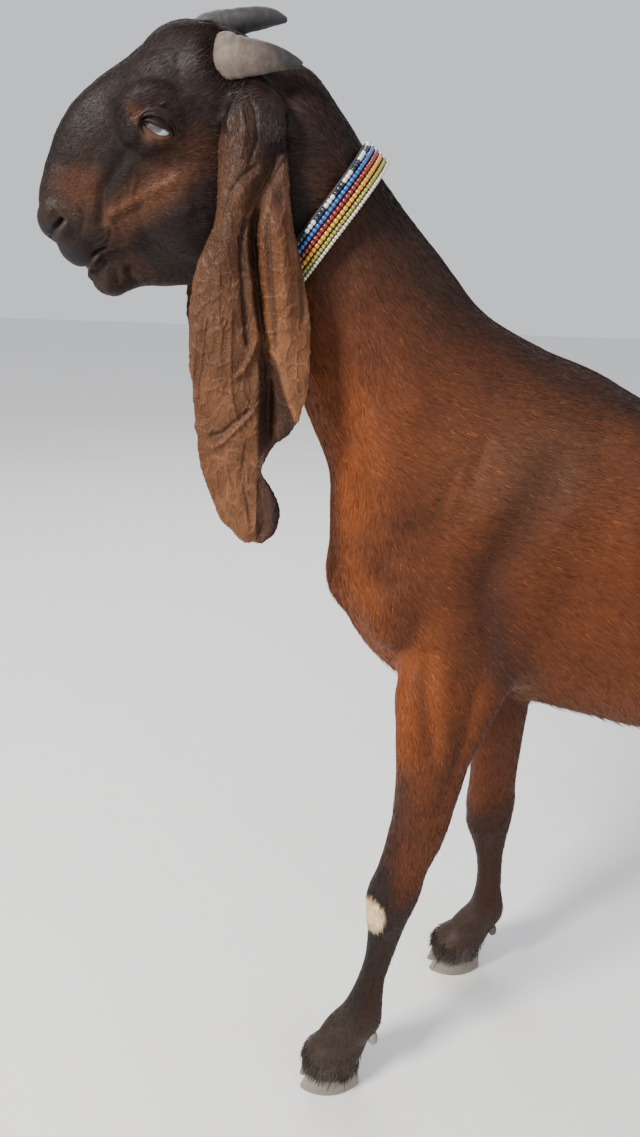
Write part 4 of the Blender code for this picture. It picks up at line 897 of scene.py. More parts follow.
def eye_hollow(points):
    """Pushes the skin in behind each eyeball, where the lids' own mesh covers it."""
    for label, side in SIDES:
        low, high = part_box("eye_" + label)
        centre = np.array((low + high) / 2)
        axis = np.array(HEAD.to_3x3() @ Vector((0, side, 0)))
        local = points - centre
        out = local @ axis
        across = np.linalg.norm(local - out[:, None] * axis, axis=1)
        near = (across < 0.021) & (out > -0.005)
        depth = (1 - smoothstep(across, 0.0155, 0.0195)) * np.maximum(out + 0.004, 0)
        points = points - np.where(near, depth, 0)[:, None] * axis
    return points


def with_small_feet(points):
    """Draws the heels forward, so that each foot is as short as its hoof."""
    local = in_goat(points)
    x, y, z = local.T
    for name, leg, side, shift in LEG_TABLES:
        toe, heel = leg[-2][0][0] + shift, leg[-2][1][0] + shift
        mine = (z < 0.13) & (np.abs(x - (toe + heel) / 2) < 0.09) & (y * leg[-2][2] * side > 0)
        low = 1 - smoothstep(z, 0.050, 0.120)
        points[:, 0] -= np.where(mine, HOOF_CUT * low * np.clip((x - toe) / (heel - toe), 0, 1.3), 0)
    return points


def head_skin():
    """The skin of head, ears and upper neck."""
    forms = head_forms() + [slab_form(TRUNK_STATIONS[-12:])]
    forms += [ear_form(side) for label, side in SIDES] + [stalk_form(side) for label, side in SIDES]
    forms += [mass_form((-0.083, 0.048 * side, -0.030), EAR_ROOT_RADII, matrix=HEAD)
              for label, side in SIDES]
    ob = fused("skin_head", forms, HEAD_SKIN_VOXEL)
    mesh = ob.data
    points = points_of(mesh)
    ears = on_ears(points)
    local = in_head(points)
    muzzle = smoothstep(local[:, 0], 0.10, 0.13)
    weight = 0.5 * (1 - ears) * (1 - 0.55 * muzzle)
    roots = np.zeros(len(points))
    for label, side in SIDES:
        centre = np.array(head_point(*EAR_ROOT, side)) + np.array((0, 0.010 * side, 0.004))
        roots = np.maximum(roots, bump(np.linalg.norm(points - centre, axis=1), 0.030))
    weight = np.maximum(weight, 0.5 * smoothstep(roots, 0.25, 0.60))
    relax(points, edges_of(mesh), weight, 26)
    relax(points, edges_of(mesh), 0.25 * ears + 0.05, 2)
    put_points(mesh, points)
    local = in_head(points)
    near_ear = ear_reach(points, -1) > 0.5
    subdivide_region(mesh, ((local[:, 0] > 0.098) & (ears < 0.5)) | near_ear)
    points, normals = points_of(mesh), normals_of(mesh)
    near_ear = ear_reach(points, -1) > 0.5
    relax(points, edges_of(mesh), np.where((in_head(points)[:, 0] > 0.095) | near_ear, 0.4, 0.0), 4)
    put_points(mesh, points)
    normals = normals_of(mesh)
    ears = on_ears(points)
    local = in_head(points)
    move = head_move(local) * (1 - ears) - HEAD_DEPTH * (1 - ears) - EAR_DEPTH * ears
    for label, side in SIDES:
        drop, across = ear_flat(points, side)
        veins = ear_net(across, drop) * smoothstep(drop, 0.030, 0.060)
        facing = smoothstep(normals[:, 1] * side, 0.0, 0.4)
        flat = np.stack([across, drop], 1) * 1000
        folds = sum(depth * near_line(flat, line, width * 0.75) for width, depth, line in EAR_LINES)
        move += 0.001 * (0.9 * veins + 0.55 * folds * facing) * ear_reach(points, side)
        under = line_distance(local, [c for c, deep, thick in HORN_STATIONS[side][2:5]])
        here = (in_goat(points)[:, 1] - HEAD_CENTRE[1]) * side > 0
        move -= 0.0062 * (1 - smoothstep(under, 0.020, 0.036)) * here
    put_points(mesh, points + normals * move[:, None])
    cut_at_collar(mesh, True)
    return thinned(ob, HEAD_SHARE)


def body_skin():
    """The skin of trunk, neck, legs and tail."""
    ob = fused("skin_body", head_forms() + body_forms(), BODY_SKIN_VOXEL)
    mesh = ob.data
    points = points_of(mesh)
    local = in_goat(points)
    leg = 1 - smoothstep(local[:, 2], 0.42, 0.62)
    tail = smoothstep(local[:, 0], 0.640, 0.670) * smoothstep(local[:, 2], 0.70, 0.74)
    weight = 0.5 * np.clip(1 - leg, 0.06, 1) * (1 - 0.9 * tail)
    relax(points, edges_of(mesh), weight, 60)
    put_points(mesh, points)
    normals = normals_of(mesh)
    move = body_move(points, normals) - BODY_DEPTH
    points = points + normals * move[:, None]
    put_points(mesh, points)
    put_points(mesh, with_small_feet(relax(points, edges_of(mesh), 0.25, 2)))
    bm = bmesh.new()
    bm.from_mesh(mesh)
    hoof_plane = Vector((0, 0, HOOF_EDGE)) + WITHERS
    bmesh.ops.bisect_plane(bm, geom=bm.verts[:] + bm.edges[:] + bm.faces[:], plane_co=hoof_plane,
                           plane_no=Vector((0, 0, -1)), clear_outer=True)
    bmesh.ops.holes_fill(bm, edges=[e for e in bm.edges if e.is_boundary], sides=0)
    bmesh.ops.triangulate(bm, faces=[f for f in bm.faces if len(f.verts) > 4])
    bm.to_mesh(mesh)
    bm.free()
    cut_at_collar(mesh, False)
    return thinned(ob, BODY_SHARE)


# Eyes and lids

LID_STEPS = 96
LID_RINGS = 26
LID_HALF_LENGTH = 0.0122
LID_RISE = 0.0026
LID_DROP = 0.0043
LID_MARGIN = 0.0013


def eye_axes(side):
    """The eye's middle, and its axes in the row frame: towards the inner corner, the upper lid, and out."""
    low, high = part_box("eye_left" if side < 0 else "eye_right")
    turn = HEAD.to_3x3()
    t = LID_TILT
    along = turn @ Vector((math.cos(t), 0, -math.sin(t)))
    across = turn @ Vector((math.sin(t), 0, math.cos(t)))
    out = turn @ Vector((0, side, 0))
    return (low + high) / 2, along, across, out


def lid_form(side, tree):
    """The lids of one eye: a closed patch from their rims on the eyeball out into the skin."""
    centre, along, across, out = (np.array(v) for v in eye_axes(side))
    angles = circle(LID_STEPS)
    upper = np.sin(angles) > 0
    inner = np.stack([LID_HALF_LENGTH * np.cos(angles) * np.where(np.cos(angles) > 0, 1.10, 1.0),
                      np.where(upper, LID_RISE, LID_DROP) * np.sin(angles)
                      * np.abs(np.sin(angles)) ** 0.25], 1)
    outer = np.stack([0.0215 * np.cos(angles), 0.0205 * np.sin(angles)], 1)
    rings = []
    for k in range(LID_RINGS):
        t = k / (LID_RINGS - 1)
        flat = inner + (outer - inner) * t
        reach = np.linalg.norm(flat, axis=1)
        clear = EYE_RADIUS + LID_MARGIN + 0.0012 * smoothstep(t, 0, 0.25)
        on_ball = np.sqrt(np.maximum(clear ** 2 - reach ** 2, 1e-8))
        starts = centre + flat[:, :1] * along + flat[:, 1:] * across + out * 0.05
        on_skin = np.empty(LID_STEPS)
        for i, start in enumerate(starts):
            hit = tree.ray_cast(Vector(start), Vector(-out), 0.09)
            on_skin[i] = 0.05 - hit[3] if hit[0] else 0.0
        blend = smoothstep(t, 0.05, 0.72)
        height = on_ball * (1 - blend) + on_skin * blend
        uneven = 1 + 0.30 * np.sin(2 * angles + 0.8) + 0.18 * np.sin(5 * angles)
        ridge = np.where(upper, 0.0019, 0.0012) * bump(t - 0.14, 0.10) * uneven
        crease = np.where(upper, -0.0018, -0.0008) * bump(t - 0.36, 0.06) * uneven
        crease += np.where(upper, 0.0010, 0.0009) * bump(t - 0.50, 0.08)
        crease += np.where(upper, -0.0010, -0.0004) * bump(t - 0.66, 0.05) * uneven
        fine = 0.00025 * np.sin(angles * 9 + 5 * t) * bump(t - 0.45, 0.25)
        height = height + ridge + crease + fine - 0.0006 * smoothstep(t, 0.86, 1.0)
        rings.append(centre + flat[:, :1] * along + flat[:, 1:] * across + height[:, None] * out)
    tucked = []
    for flat, depth in ((inner * 0.985, -0.0008), (inner, 0.0006)):
        reach = np.linalg.norm(flat, axis=1)
        height = np.sqrt(np.maximum((EYE_RADIUS + depth) ** 2 - reach ** 2, 1e-8))
        tucked.append(centre + flat[:, :1] * along + flat[:, 1:] * across + height[:, None] * out)
    return ring_loft(tucked + rings + [rings[-1] - out * 0.003, tucked[0] - out * 0.004])


def eyeball_form(side):
    """An eyeball with a slightly raised cornea."""
    centre, along, across, out = (np.array(v) for v in eye_axes(side))
    levels = np.linspace(0, math.pi, 66)[1:-1]
    angles = circle(96)
    rings = []
    for level in levels:
        raised = EYE_RADIUS + 0.0007 * bump(level, 0.55)
        turned = np.cos(angles)[:, None] * along + np.sin(angles)[:, None] * across
        rings.append(centre + out * math.cos(level) * raised + turned * math.sin(level) * raised)
    return closed_loft(rings)


# Horns, hooves and collar

def horn_form(side):
    """A short flat horn swept back from the poll, ringed and rough."""
    table = [(*centre, deep, thick) for centre, deep, thick in HORN_STATIONS[side]]
    path = smooth_path(table, 24)
    rings = []
    angles = circle(72)
    turn = HEAD.to_3x3()
    for i, (x, y, z, deep, thick) in enumerate(path):
        ahead = path[min(i + 1, len(path) - 1)][:3]
        behind = path[max(i - 1, 0)][:3]
        run = Vector(ahead - behind).normalized()
        out = (Vector((0, 1, 0)) - run * run.y).normalized()
        deep_axis = run.cross(out)
        s = i / (len(path) - 1)
        lean = HORN_LEAN * (1 - 0.6 * s)
        deep_axis, out = (deep_axis * math.cos(lean) + out * math.sin(lean),
                          out * math.cos(lean) - deep_axis * math.sin(lean))
        rings_of_growth = 0.00025 * math.sin(s * 74 + 1.3 * math.sin(s * 19))
        grow = (rings_of_growth + 0.0004 * math.sin(s * 33 + 1)) * (1 - s)
        grow += 0.0010 * float(bump(s - 0.30, 0.05)) - 0.0006 * float(bump(s - 0.40, 0.03))
        uneven = 1 + 0.02 * np.sin(3 * angles + s * 5) + 0.006 * np.sin(7 * angles + s * 11)
        keel = 0.0012 * bump(((angles + math.pi / 2) % (2 * math.pi)) - math.pi / 2 - 1.2, 0.3)
        local = (np.array((x, y, z))[None, :]
                 + np.sin(angles)[:, None] * ((deep + grow) * uneven + keel)[:, None] * np.array(deep_axis)
                 + np.cos(angles)[:, None] * ((thick + grow) * uneven)[:, None] * np.array(out))
        local[:, 1] *= side
        rings.append(to_row(local, HEAD))
    return closed_loft(rings)


def horn_colours(points, side):
    """Pale and worn at the near horn's root, dark towards its tip; the far one is dark all over."""
    local = in_head(points)
    back = -local[:, 0]
    rough = value_noise(local, 0.009, 61) + 0.6 * value_noise(local, 0.004, 62)
    if side > 0:
        colour = np.tile(np.array((0.040, 0.038, 0.040)), (len(points), 1))
        return np.clip(colour * (1 + 0.25 * rough)[:, None], 0, 1)
    colour = np.tile(np.array(chosen("horn")), (len(points), 1))
    colour = mix(colour, (0.070, 0.055, 0.047), smoothstep(back + 0.004 * rough, 0.098, 0.116))
    colour = mix(colour, (0.030, 0.027, 0.027), smoothstep(back + 0.003 * rough, 0.120, 0.126))
    return np.clip(colour * (1 + 0.16 * rough)[:, None], 0, 1)


def claw_form(node, inner):
    """One claw of a cloven hoof: rounded, ringed by growth, with a flat sole."""
    low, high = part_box(node)
    length = high.x - low.x - HOOF_CUT
    width = (high.y - low.y) * 0.94
    wall_y = low.y if inner > 0 else high.y
    angles = circle(64)
    s, c = np.sin(angles), np.cos(angles)
    long = np.sign(c) * np.abs(c) ** 0.80
    t = 0.5 - 0.5 * long
    across = 0.5 + 0.5 * np.sign(s) * np.abs(s) ** 0.72
    rings = []
    for k in range(CLAW_RINGS):
        level = k / (CLAW_RINGS - 1)
        shape = np.sin(math.pi * np.clip(0.16 + 0.78 * t, 0, 1)) ** 0.62
        squeeze = 1.0 - 0.07 * level - 0.05 * (1 - level) * bump(level, 0.05)
        x = low.x + 0.0004 + 0.0120 * level * (1 - t) + (length - 0.0008) * t * (1 - 0.03 * level)
        y = wall_y + inner * (0.0006 + (width - 0.0012) * across * shape * squeeze)
        ring_bump = 0.00035 * math.sin(level * 24) + 0.0002 * math.sin(level * 47)
        y = y + inner * ring_bump * (across - 0.5) * 2
        x = x - ring_bump * long
        top = HOOF_HEIGHT + (HEEL_HEIGHT - HOOF_HEIGHT) * t
        round_edge = 0.0015 * (1 - math.exp(-level * 9)) - 0.0015
        shrink = 1 + round_edge * 6
        cx, cy = x.mean(), y.mean()
        rings.append(np.stack([cx + (x - cx) * shrink, cy + (y - cy) * shrink, level * top + low.z], 1))
    return closed_loft(rings)


def dewclaw_form(node):
    """A rounded dewclaw in its solid's place, drawn forward with the heel."""
    low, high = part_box(node)
    centre = with_small_feet(np.array([(low + high) / 2]))[0] - np.array((0.0055, 0.0, -0.002))
    half = np.array((high - low) / 2)
    angles = circle(28)
    rings = []
    tilt = math.radians(24.0)
    for level in np.linspace(0.06, math.pi - 0.06, 18):
        r = math.sin(level) ** 0.7
        h = math.cos(level)
        wrinkle = 1 + 0.03 * math.sin(level * 14)
        x = np.cos(angles) * r * half[0] * 0.62 * wrinkle
        y = np.sin(angles) * r * half[1] * 0.92 * wrinkle
        z = np.full(28, h * half[2] * 0.96)
        rings.append(centre + np.stack([x * math.cos(tilt) - z * math.sin(tilt) * 0.6, y,
                                        z + x * math.sin(tilt)], 1))
    return closed_loft(rings)


def collar_reach(node):
    """How far a collar node's surface lies from the collar's middle all the way round, and where across."""
    middle, rise, axis = collar_frame()
    points = points_of(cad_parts[node].data) - np.array(middle)
    angle = np.arctan2(points @ np.array(rise), points[:, 1])
    along = points @ np.array(axis)
    distance = np.linalg.norm(points - along[:, None] * np.array(axis), axis=1)
    return angle, distance, along


def around_mean(angle, distance):
    """The mean distance in each of the segments that the collar's solids are built with, made smooth."""
    count = COLLAR_SEGMENTS
    index = np.round(angle / (2 * math.pi) * count).astype(int) % count
    total = np.bincount(index, distance, count)
    tally = np.bincount(index, minlength=count)
    mean = total / np.maximum(tally, 1)
    fine = np.linspace(0, count, COLLAR_STEPS + 1)[:-1]
    wrapped = np.concatenate([mean[-3:], mean, mean[:4]])
    return np.array([between(*wrapped[int(p) + 2:int(p) + 6], p - int(p)) for p in fine])


def collar_point(angle, distance, along):
    middle, rise, axis = (np.array(v) for v in collar_frame())
    ray = np.sin(angle)[..., None] * rise + np.cos(angle)[..., None] * np.array((0.0, 1.0, 0.0))
    return middle + ray * np.asarray(distance)[..., None] + axis * np.asarray(along)[..., None]


# The band's section: 1 on its outer face or 0 on its inner one, and the place across it
BAND_SECTION = ((1, -1.0), (1, -0.8), (1, -0.5), (1, -0.2), (1, 0.2), (1, 0.5), (1, 0.8), (1, 1.0),
                (0, 1.0), (0, 0.5), (0, -0.5), (0, -1.0))


def band_form():
    """The woven band, rounded at its edges, with a faint weave."""
    angle, distance, along = collar_reach("collar_band")
    wall = around_mean(angle, distance)
    half = (along.max() - along.min()) / 2 - 0.0003
    angles = circle(COLLAR_STEPS)
    loops = []
    for outer_side, across in BAND_SECTION:
        edge = wall + 0.0022 - 0.0006 * abs(across) ** 6 if outer_side else wall - 0.0024
        weave = 0.00022 * np.sin(angles * 260 + across * 9) * outer_side
        loops.append(collar_point(angles, edge + weave, half * across + 0 * angles))
    return ring_loft(loops)


BEAD_NODES = ("beads_check", "beads_blue", "beads_red", "beads_yellow", "beads_green", "beads_white")
BEAD_PROFILE = ((-1.0, 0.30), (-0.92, 0.62), (-0.62, 0.92), (0.0, 1.0), (0.62, 0.92), (0.92, 0.62),
                (1.0, 0.30))


def bead_forms(node, seed):
    """One row of glossy barrel beads threaded round the band."""
    rng = np.random.default_rng(seed)
    angle, distance, along = collar_reach(node)
    middle_line = around_mean(angle, distance)
    place = (along.max() + along.min()) / 2
    radius = (along.max() - along.min()) / 2
    angles = circle(COLLAR_STEPS)
    path = collar_point(angles, middle_line, place + 0 * angles)
    steps = np.linalg.norm(np.roll(path, -1, 0) - path, axis=1)
    total = steps.sum()
    count = int(total / (radius * 2.0))
    travelled = np.concatenate([[0], np.cumsum(steps)])
    wide_path = np.vstack([path, path[:1]])
    axis = np.array(collar_frame()[2])
    parts = []
    turns = circle(10)
    spacing = total / count
    for k in range(count):
        spot_at = (k + 0.5) * spacing
        centre, ahead = (np.array([np.interp(run, travelled, column) for column in wide_path.T])
                         for run in (spot_at, (spot_at + 0.001) % total))
        run = ahead - centre
        run /= np.linalg.norm(run)
        run = run + axis * rng.normal(0, 0.035)
        run /= np.linalg.norm(run)
        out = np.cross(run, axis)
        out /= np.linalg.norm(out)
        cross = np.cross(out, run)
        size = radius * rng.uniform(0.93, 1.02)
        half = spacing * rng.uniform(0.45, 0.495)
        section = np.cos(turns)[:, None] * out + np.sin(turns)[:, None] * cross
        rings = [centre + run * half * x + section * size * r for x, r in BEAD_PROFILE]
        parts.append(closed_loft(rings))
    return parts


# Markings

CHESTNUT = (0.076, 0.0205, 0.0060)
RUST = (0.145, 0.036, 0.0068)
DARK = (0.0100, 0.0068, 0.0058)
BROWN_BLACK = (0.0200, 0.0095, 0.0068)
CREAM = (0.560, 0.410, 0.240)
GREY = (0.140, 0.120, 0.110)
EAR_TAN = (0.175, 0.073, 0.032)
# the colour of the painted shade on the ears
EAR_SHADE = (0.026, 0.013, 0.0095)
FACE_BROWN = (0.0240, 0.0095, 0.0060)
MUZZLE_RUST = (0.074, 0.027, 0.0120)
FACE_DARK = (0.0090, 0.0055, 0.0052)
NOSE = (0.0140, 0.0125, 0.0135)
LID_DARK = (0.0120, 0.0075, 0.0068)
LID_PEACH = (0.230, 0.100, 0.060)
PALE_HAIR = (0.150, 0.062, 0.026)
# the greyer brown of the painted sheen on the shoulder
SHOULDER_SHEEN = (0.070, 0.030, 0.015)
FOOT_BROWN = (0.034, 0.022, 0.017)
NOSTRIL_WING = (0.042, 0.027, 0.020)


# Lines seen from the side, (x, z) in millimetres with x 0 at the withers: nape and back, and the groove
# behind the shoulder's point, along which shade is painted
BACK_LINE = metres(((-235, 1215), (-170, 1090), (-105, 1000), (0, 952), (150, 930), (450, 905), (620, 850)))
SHOULDER_LINE = metres(((-36, 870), (-67, 789), (-86, 749), (-78, 680), (-60, 620)))


def body_colour(points, normals):
    """The coat's colour on trunk, neck and legs, with painted sheen and shade about neck and shoulder."""
    local = in_goat(points)
    x, y, z = local.T
    colour = np.tile(np.array(chosen("chestnut")), (len(points), 1))
    noise_slow = value_noise(local, 0.11, 11)
    noise_mid = value_noise(local, 0.035, 12)
    front = smoothstep(-normals[:, 0] + 0.25 * noise_slow, 0.05, 0.75)
    low_chest = smoothstep(z, 0.46, 0.56) * (1 - smoothstep(z, 0.92, 1.02)) * smoothstep(-x, 0.06, 0.16)
    colour = mix(colour, chosen("rust"), 0.78 * front * low_chest)
    belly = smoothstep(-normals[:, 2], 0.15, 0.75) * smoothstep(z, 0.48, 0.54)
    colour = mix(colour, chosen("rust"), 0.40 * belly)
    up = smoothstep(normals[:, 2] + 0.12 * noise_mid, 0.55, 0.90)
    raised = normals[:, 2] + 0.35 * normals[:, 0] + 0.2 * noise_mid
    crest = smoothstep(z, 0.98, 1.08) * smoothstep(raised, 0.20, 0.75)
    spine = bump(y + 0.004 * noise_mid, 0.022) * (normals[:, 2] > 0.3) * (z > 0.80)
    flat = local[:, (0, 2)]
    nape = bump(line_distance(flat, BACK_LINE) + 0.010 * noise_mid, 0.062)
    dark = 0.35 * up * smoothstep(z, 0.85, 0.95) + 0.70 * crest + 0.75 * spine + 0.75 * nape
    colour = mix(colour, BROWN_BLACK, np.clip(dark, 0, 0.92))
    # The upper neck is darker: partly its darker fur, partly a painted shadow of the ear and head
    colour = mix(colour, BROWN_BLACK, 0.55 * smoothstep(z + 0.02 * noise_slow, 0.98, 1.10) * (x < 0.0))
    cloud = 0.26 * smoothstep(value_noise(local, 0.20, 13), 0.05, 0.55)
    colour = mix(colour, BROWN_BLACK, cloud * smoothstep(z, 0.60, 0.70))
    # Painted sheen: a greyer brown laid over the upper shoulder where a soft reflection lies
    shoulder = np.exp(-((x + 0.060) / 0.085) ** 2 - ((z - 0.865) / 0.060) ** 2) * (y < 0)
    colour = mix(colour, SHOULDER_SHEEN, 0.75 * shoulder)
    # Painted shade along the groove behind the shoulder's point, fading out lower down
    shoulder_shade = bump(line_distance(flat, SHOULDER_LINE), 0.025)
    colour = mix(colour, BROWN_BLACK, (0.72 - 0.30 * smoothstep(z, 0.66, 0.78)) * shoulder_shade * (y < 0))
    legs = 1 - smoothstep(z, 0.40, 0.52)
    cannon = 1 - smoothstep(z + 0.012 * noise_mid, 0.285, 0.345)
    fronted = smoothstep(-normals[:, 0] + 0.3 * noise_mid, -0.25, 0.60)
    colour = mix(colour, BROWN_BLACK, legs * fronted * 0.45 * (1 - 0.8 * (y > 0)))
    far = smoothstep(y, 0.0, 0.02)
    colour = mix(colour, chosen("leg_dark"), cannon * (0.80 + 0.17 * fronted) * (1 - 0.20 * far))
    foot = 1 - smoothstep(z + 0.010 * noise_mid, 0.100, 0.150)
    colour = mix(colour, FOOT_BROWN, 0.7 * foot)
    coronet = 1 - smoothstep(z, 0.040, 0.062)
    colour = mix(colour, GREY, 0.35 * coronet * smoothstep(noise_mid, -0.3, 0.4))
    knee = spot(local, (-190, -112, 335), (22, 30, 34))
    colour = mix(colour, chosen("leg_dark"), np.clip(1.2 * knee, 0, 0.9))
    beside = spot(local, (-184, -116, 292), (24, 30, 44))
    colour = mix(colour, chosen("leg_dark"), 0.70 * beside)
    callus = spot(local, (-197, -116, 289), (19, 30, 26)) + 0.08 * noise_mid
    colour = mix(colour, CREAM, smoothstep(callus, 0.30, 0.50))
    stripe = streak(local, 14, (-176, -112, 480), (-180, -110, 430), (-188, -112, 385))
    colour = mix(colour, chosen("leg_dark"), 0.8 * stripe)
    elbow = streak(local, 9, (-30, -75, 600), (-21, -62, 577), (-9, 20, 500))
    colour = mix(colour, PALE_HAIR, 0.55 * elbow)
    tail = smoothstep(x, 0.640, 0.670) * (z > 0.70)
    colour = mix(colour, BROWN_BLACK, 0.6 * tail)
    return np.clip(colour * (1 + 0.10 * noise_mid + 0.08 * noise_slow)[:, None], 0, 1)


def head_colour(points, normals):
    """The coat's colour on the head and the upper neck, with painted shade under the jaw and behind the
    ear.
    """
    local = in_head(points)
    f, o, u = local.T
    facing = normals @ np.array(HEAD.to_3x3())
    noise_slow = value_noise(local, 0.040, 21)
    noise_mid = value_noise(local, 0.013, 22)
    colour = body_colour(points, normals)
    # Behind the ear and above the collar: partly darker fur, partly a painted shadow of the ear
    nape = smoothstep(-f, 0.060, 0.090) * smoothstep(u + 0.012 * noise_slow, -0.175, -0.085)
    colour = mix(colour, BROWN_BLACK, 0.85 * nape)
    colour = mix(colour, FACE_DARK, 0.50 * nape)
    on_face = smoothstep(f, -0.105, -0.060)
    colour = mix(colour, chosen("face"), on_face)
    top = smoothstep(facing[:, 2] + 0.15 * noise_slow, -0.05, 0.50)
    colour = mix(colour, FACE_DARK, on_face * np.clip(0.92 * top, 0, 1))
    cheek = smoothstep(-u, 0.000, 0.030) * smoothstep(f, -0.05, -0.02) * (1 - smoothstep(f, 0.09, 0.12))
    colour = mix(colour, MUZZLE_RUST, 0.45 * cheek)
    # The lower cheeks and jaw are darker: partly their darker fur, partly painted shade
    jaw_fur_and_shade = smoothstep(-u, 0.038, 0.062) * smoothstep(f, -0.080, -0.040) * (1 - smoothstep(f, 0.095, 0.118))
    colour = mix(colour, FACE_DARK, 0.92 * jaw_fur_and_shade)
    temple = spot(local, (-50, 55, -12), (30, 40, 50))
    colour = mix(colour, FACE_DARK, 0.70 * temple)
    tear = near_line(local, TEAR_LINE, 0.011)
    tear = tear + streak(local, 14, (20, 50, 24), (60, 40, 14))
    colour = mix(colour, chosen("leg_dark"), np.clip(tear, 0, 0.90))
    fold = streak(local, 8.5, (100, 36, -22), (94, 37, -21), (60, 43, -27.5), (21, 53, -35.5))
    colour = mix(colour, MUZZLE_RUST, 0.85 * fold)
    patch = spot(local, (102, 28, 14), (34, 22, 24)) + 0.20 * noise_mid
    colour = mix(colour, MUZZLE_RUST, 0.55 * smoothstep(patch, 0.10, 0.95))
    brow = spot(local, (9, 58, 32), (9, 14, 13)) + 0.15 * noise_mid
    colour = mix(colour, MUZZLE_RUST, 0.62 * smoothstep(brow, 0.20, 0.85))
    # Faces turned downwards take the darker face colour: partly dark fur under the jaw, partly painted
    # shade
    under = smoothstep(-facing[:, 2], 0.45, 0.85) * smoothstep(f, -0.06, 0.0)
    colour = mix(colour, chosen("face"), 0.8 * under)
    muzzle = smoothstep(f + 0.004 * noise_mid, 0.108, 0.130)
    colour = mix(colour, BROWN_BLACK, 0.85 * muzzle)
    pad = smoothstep(f - 0.30 * (u + 0.010) * (u < 0.0), 0.146, 0.155) * (u > -0.040)
    nostril = near_line(local, NOSTRIL_LINE, 0.0055)
    colour = mix(colour, NOSE, np.clip(pad + nostril, 0, 1))
    wing = spot(local, (124, 33.5, 2), (13, 14, 15))
    rear_lip = streak(local, 3.4, (134.3, 33, -1), (144.9, 30, -2.4), (155.8, 23, -5.2))
    colour = mix(colour, NOSTRIL_WING, np.clip(0.60 * wing + 0.75 * rear_lip, 0, 0.8))
    shade = streak(local, 11, (150, 24, -26), (137.5, 28, -21.8), (128.3, 29, -33))
    colour = mix(colour, FACE_DARK, 0.80 * shade)
    # Darkest along the mouth's slit: dark lip skin, and painted shade in the slit
    mouth = near_line(local, MOUTH_LINE, 0.0030)
    colour = mix(colour, chosen("leg_dark"), mouth)
    # The pale rim of the lower lip, partly a painted highlight along its edge
    lip_rim_and_highlight = near_line(local, LIP_LINE, 0.0022)
    colour = mix(colour, GREY, 0.50 * lip_rim_and_highlight)
    chin = smoothstep(f, 0.118, 0.140) * smoothstep(-u, 0.056, 0.072)
    colour = mix(colour, BROWN_BLACK, 0.6 * chin)
    ring = streak(local, 6, (11.6, 60, 12), (7.5, 62.5, 6), (4, 62, 0.7), (-1.6, 60, -4.5))
    colour = mix(colour, LID_PEACH, 0.28 * ring)
    around_eye = spot(local, (-4, 58, 14), (20, 30, 18))
    colour = mix(colour, LID_DARK, 0.80 * around_eye * (1 - ring))
    return np.clip(colour * (1 + 0.12 * noise_mid + 0.08 * noise_slow)[:, None], 0, 1)


def ear_colour(points, side):
    """The ear's colour: tan, darker at its edges and root, with painted shade in its folds and hollows, the
    horn's painted shadow at its top and painted light on its veins.
    """
    local = points - np.array(head_point(*EAR_ROOT, side))
    across, drop = local[:, 0] * 1000, -local[:, 2] * 1000
    flat = np.stack([across, drop], 1)
    slow = value_noise(local, 0.060, 31)
    mid = value_noise(local, 0.015, 32)
    colour = np.tile(np.array(chosen("ear_tan")), (len(points), 1))
    colour = mix(colour, chosen("chestnut"), 0.55 * smoothstep(slow + 0.3 * mid, 0.0, 0.5))
    colour = colour * (0.60 + 0.40 * smoothstep(drop, 90, 280) + 0.42 * smoothstep(drop, 230, 370))[:, None]
    colour = colour * (0.52 + 0.48 * smoothstep(across + 5 * mid, -2, 16))[:, None]
    root_dark = 1 - smoothstep(drop + 10 * mid, 5, 95)
    colour = mix(colour, chosen("face"), 0.92 * root_dark)
    colour = mix(colour, FACE_DARK, 0.7 * (1 - smoothstep(drop + 10 * mid, -15, 25)))
    # Painted shade in the ear's sunken folds
    groove_shade = 0.0
    for width, depth, line in EAR_LINES:
        if depth < 0:
            groove_shade = groove_shade + min(-depth / 2.5, 1.0) * near_line(flat, line, 3.0)
    colour = mix(colour, EAR_SHADE, np.clip(0.66 * groove_shade, 0, 0.8))
    # Painted shade on the recessed web between the ear's folds
    rear = np.interp(drop, np.array(EAR_REAR_LINE[0]) * 1000, np.array(EAR_REAR_LINE[1]) * 1000)
    web = smoothstep(across, 3, 8) * (1 - smoothstep(across - rear, -2.5, 1.5)) * smoothstep(drop, 215, 238)
    colour = mix(colour, EAR_SHADE, 0.92 * web)
    # Painted shade on the underside of the curled tip
    tip = smoothstep(drop, 325, 350) * smoothstep(across - 0.10 * (drop - 340), 10, 20)
    colour = mix(colour, EAR_SHADE, 0.75 * tip)
    # Painted shade in the hollow of the folded rear panel and in a small dent low on the ear
    hollow = np.exp(-((across - 22) / 12) ** 2 - ((drop - 78) / 20) ** 2)
    dent_shadow = np.exp(-((across + 35) / 13) ** 2 - ((drop - 303) / 9) ** 2)
    colour = mix(colour, EAR_SHADE, np.clip(0.80 * hollow + 0.45 * dent_shadow, 0, 1))
    # Painted shadow of the horn over the rear of the ear's top
    top_shadow = smoothstep(across + 4 * mid, -4, 8) * (1 - smoothstep(drop, 35, 70))
    colour = mix(colour, FACE_DARK, 0.88 * top_shadow)
    # Painted light on the raised veins and painted shade beside them
    net = ear_net(across / 1000, drop / 1000)
    colour = colour * (1 + 0.16 * net - 0.22 * bump(net + 0.20, 0.12) * smoothstep(drop, 60, 110))[:, None]
    return np.clip(colour * (1 + 0.10 * mid + 0.10 * slow)[:, None], 0, 1)


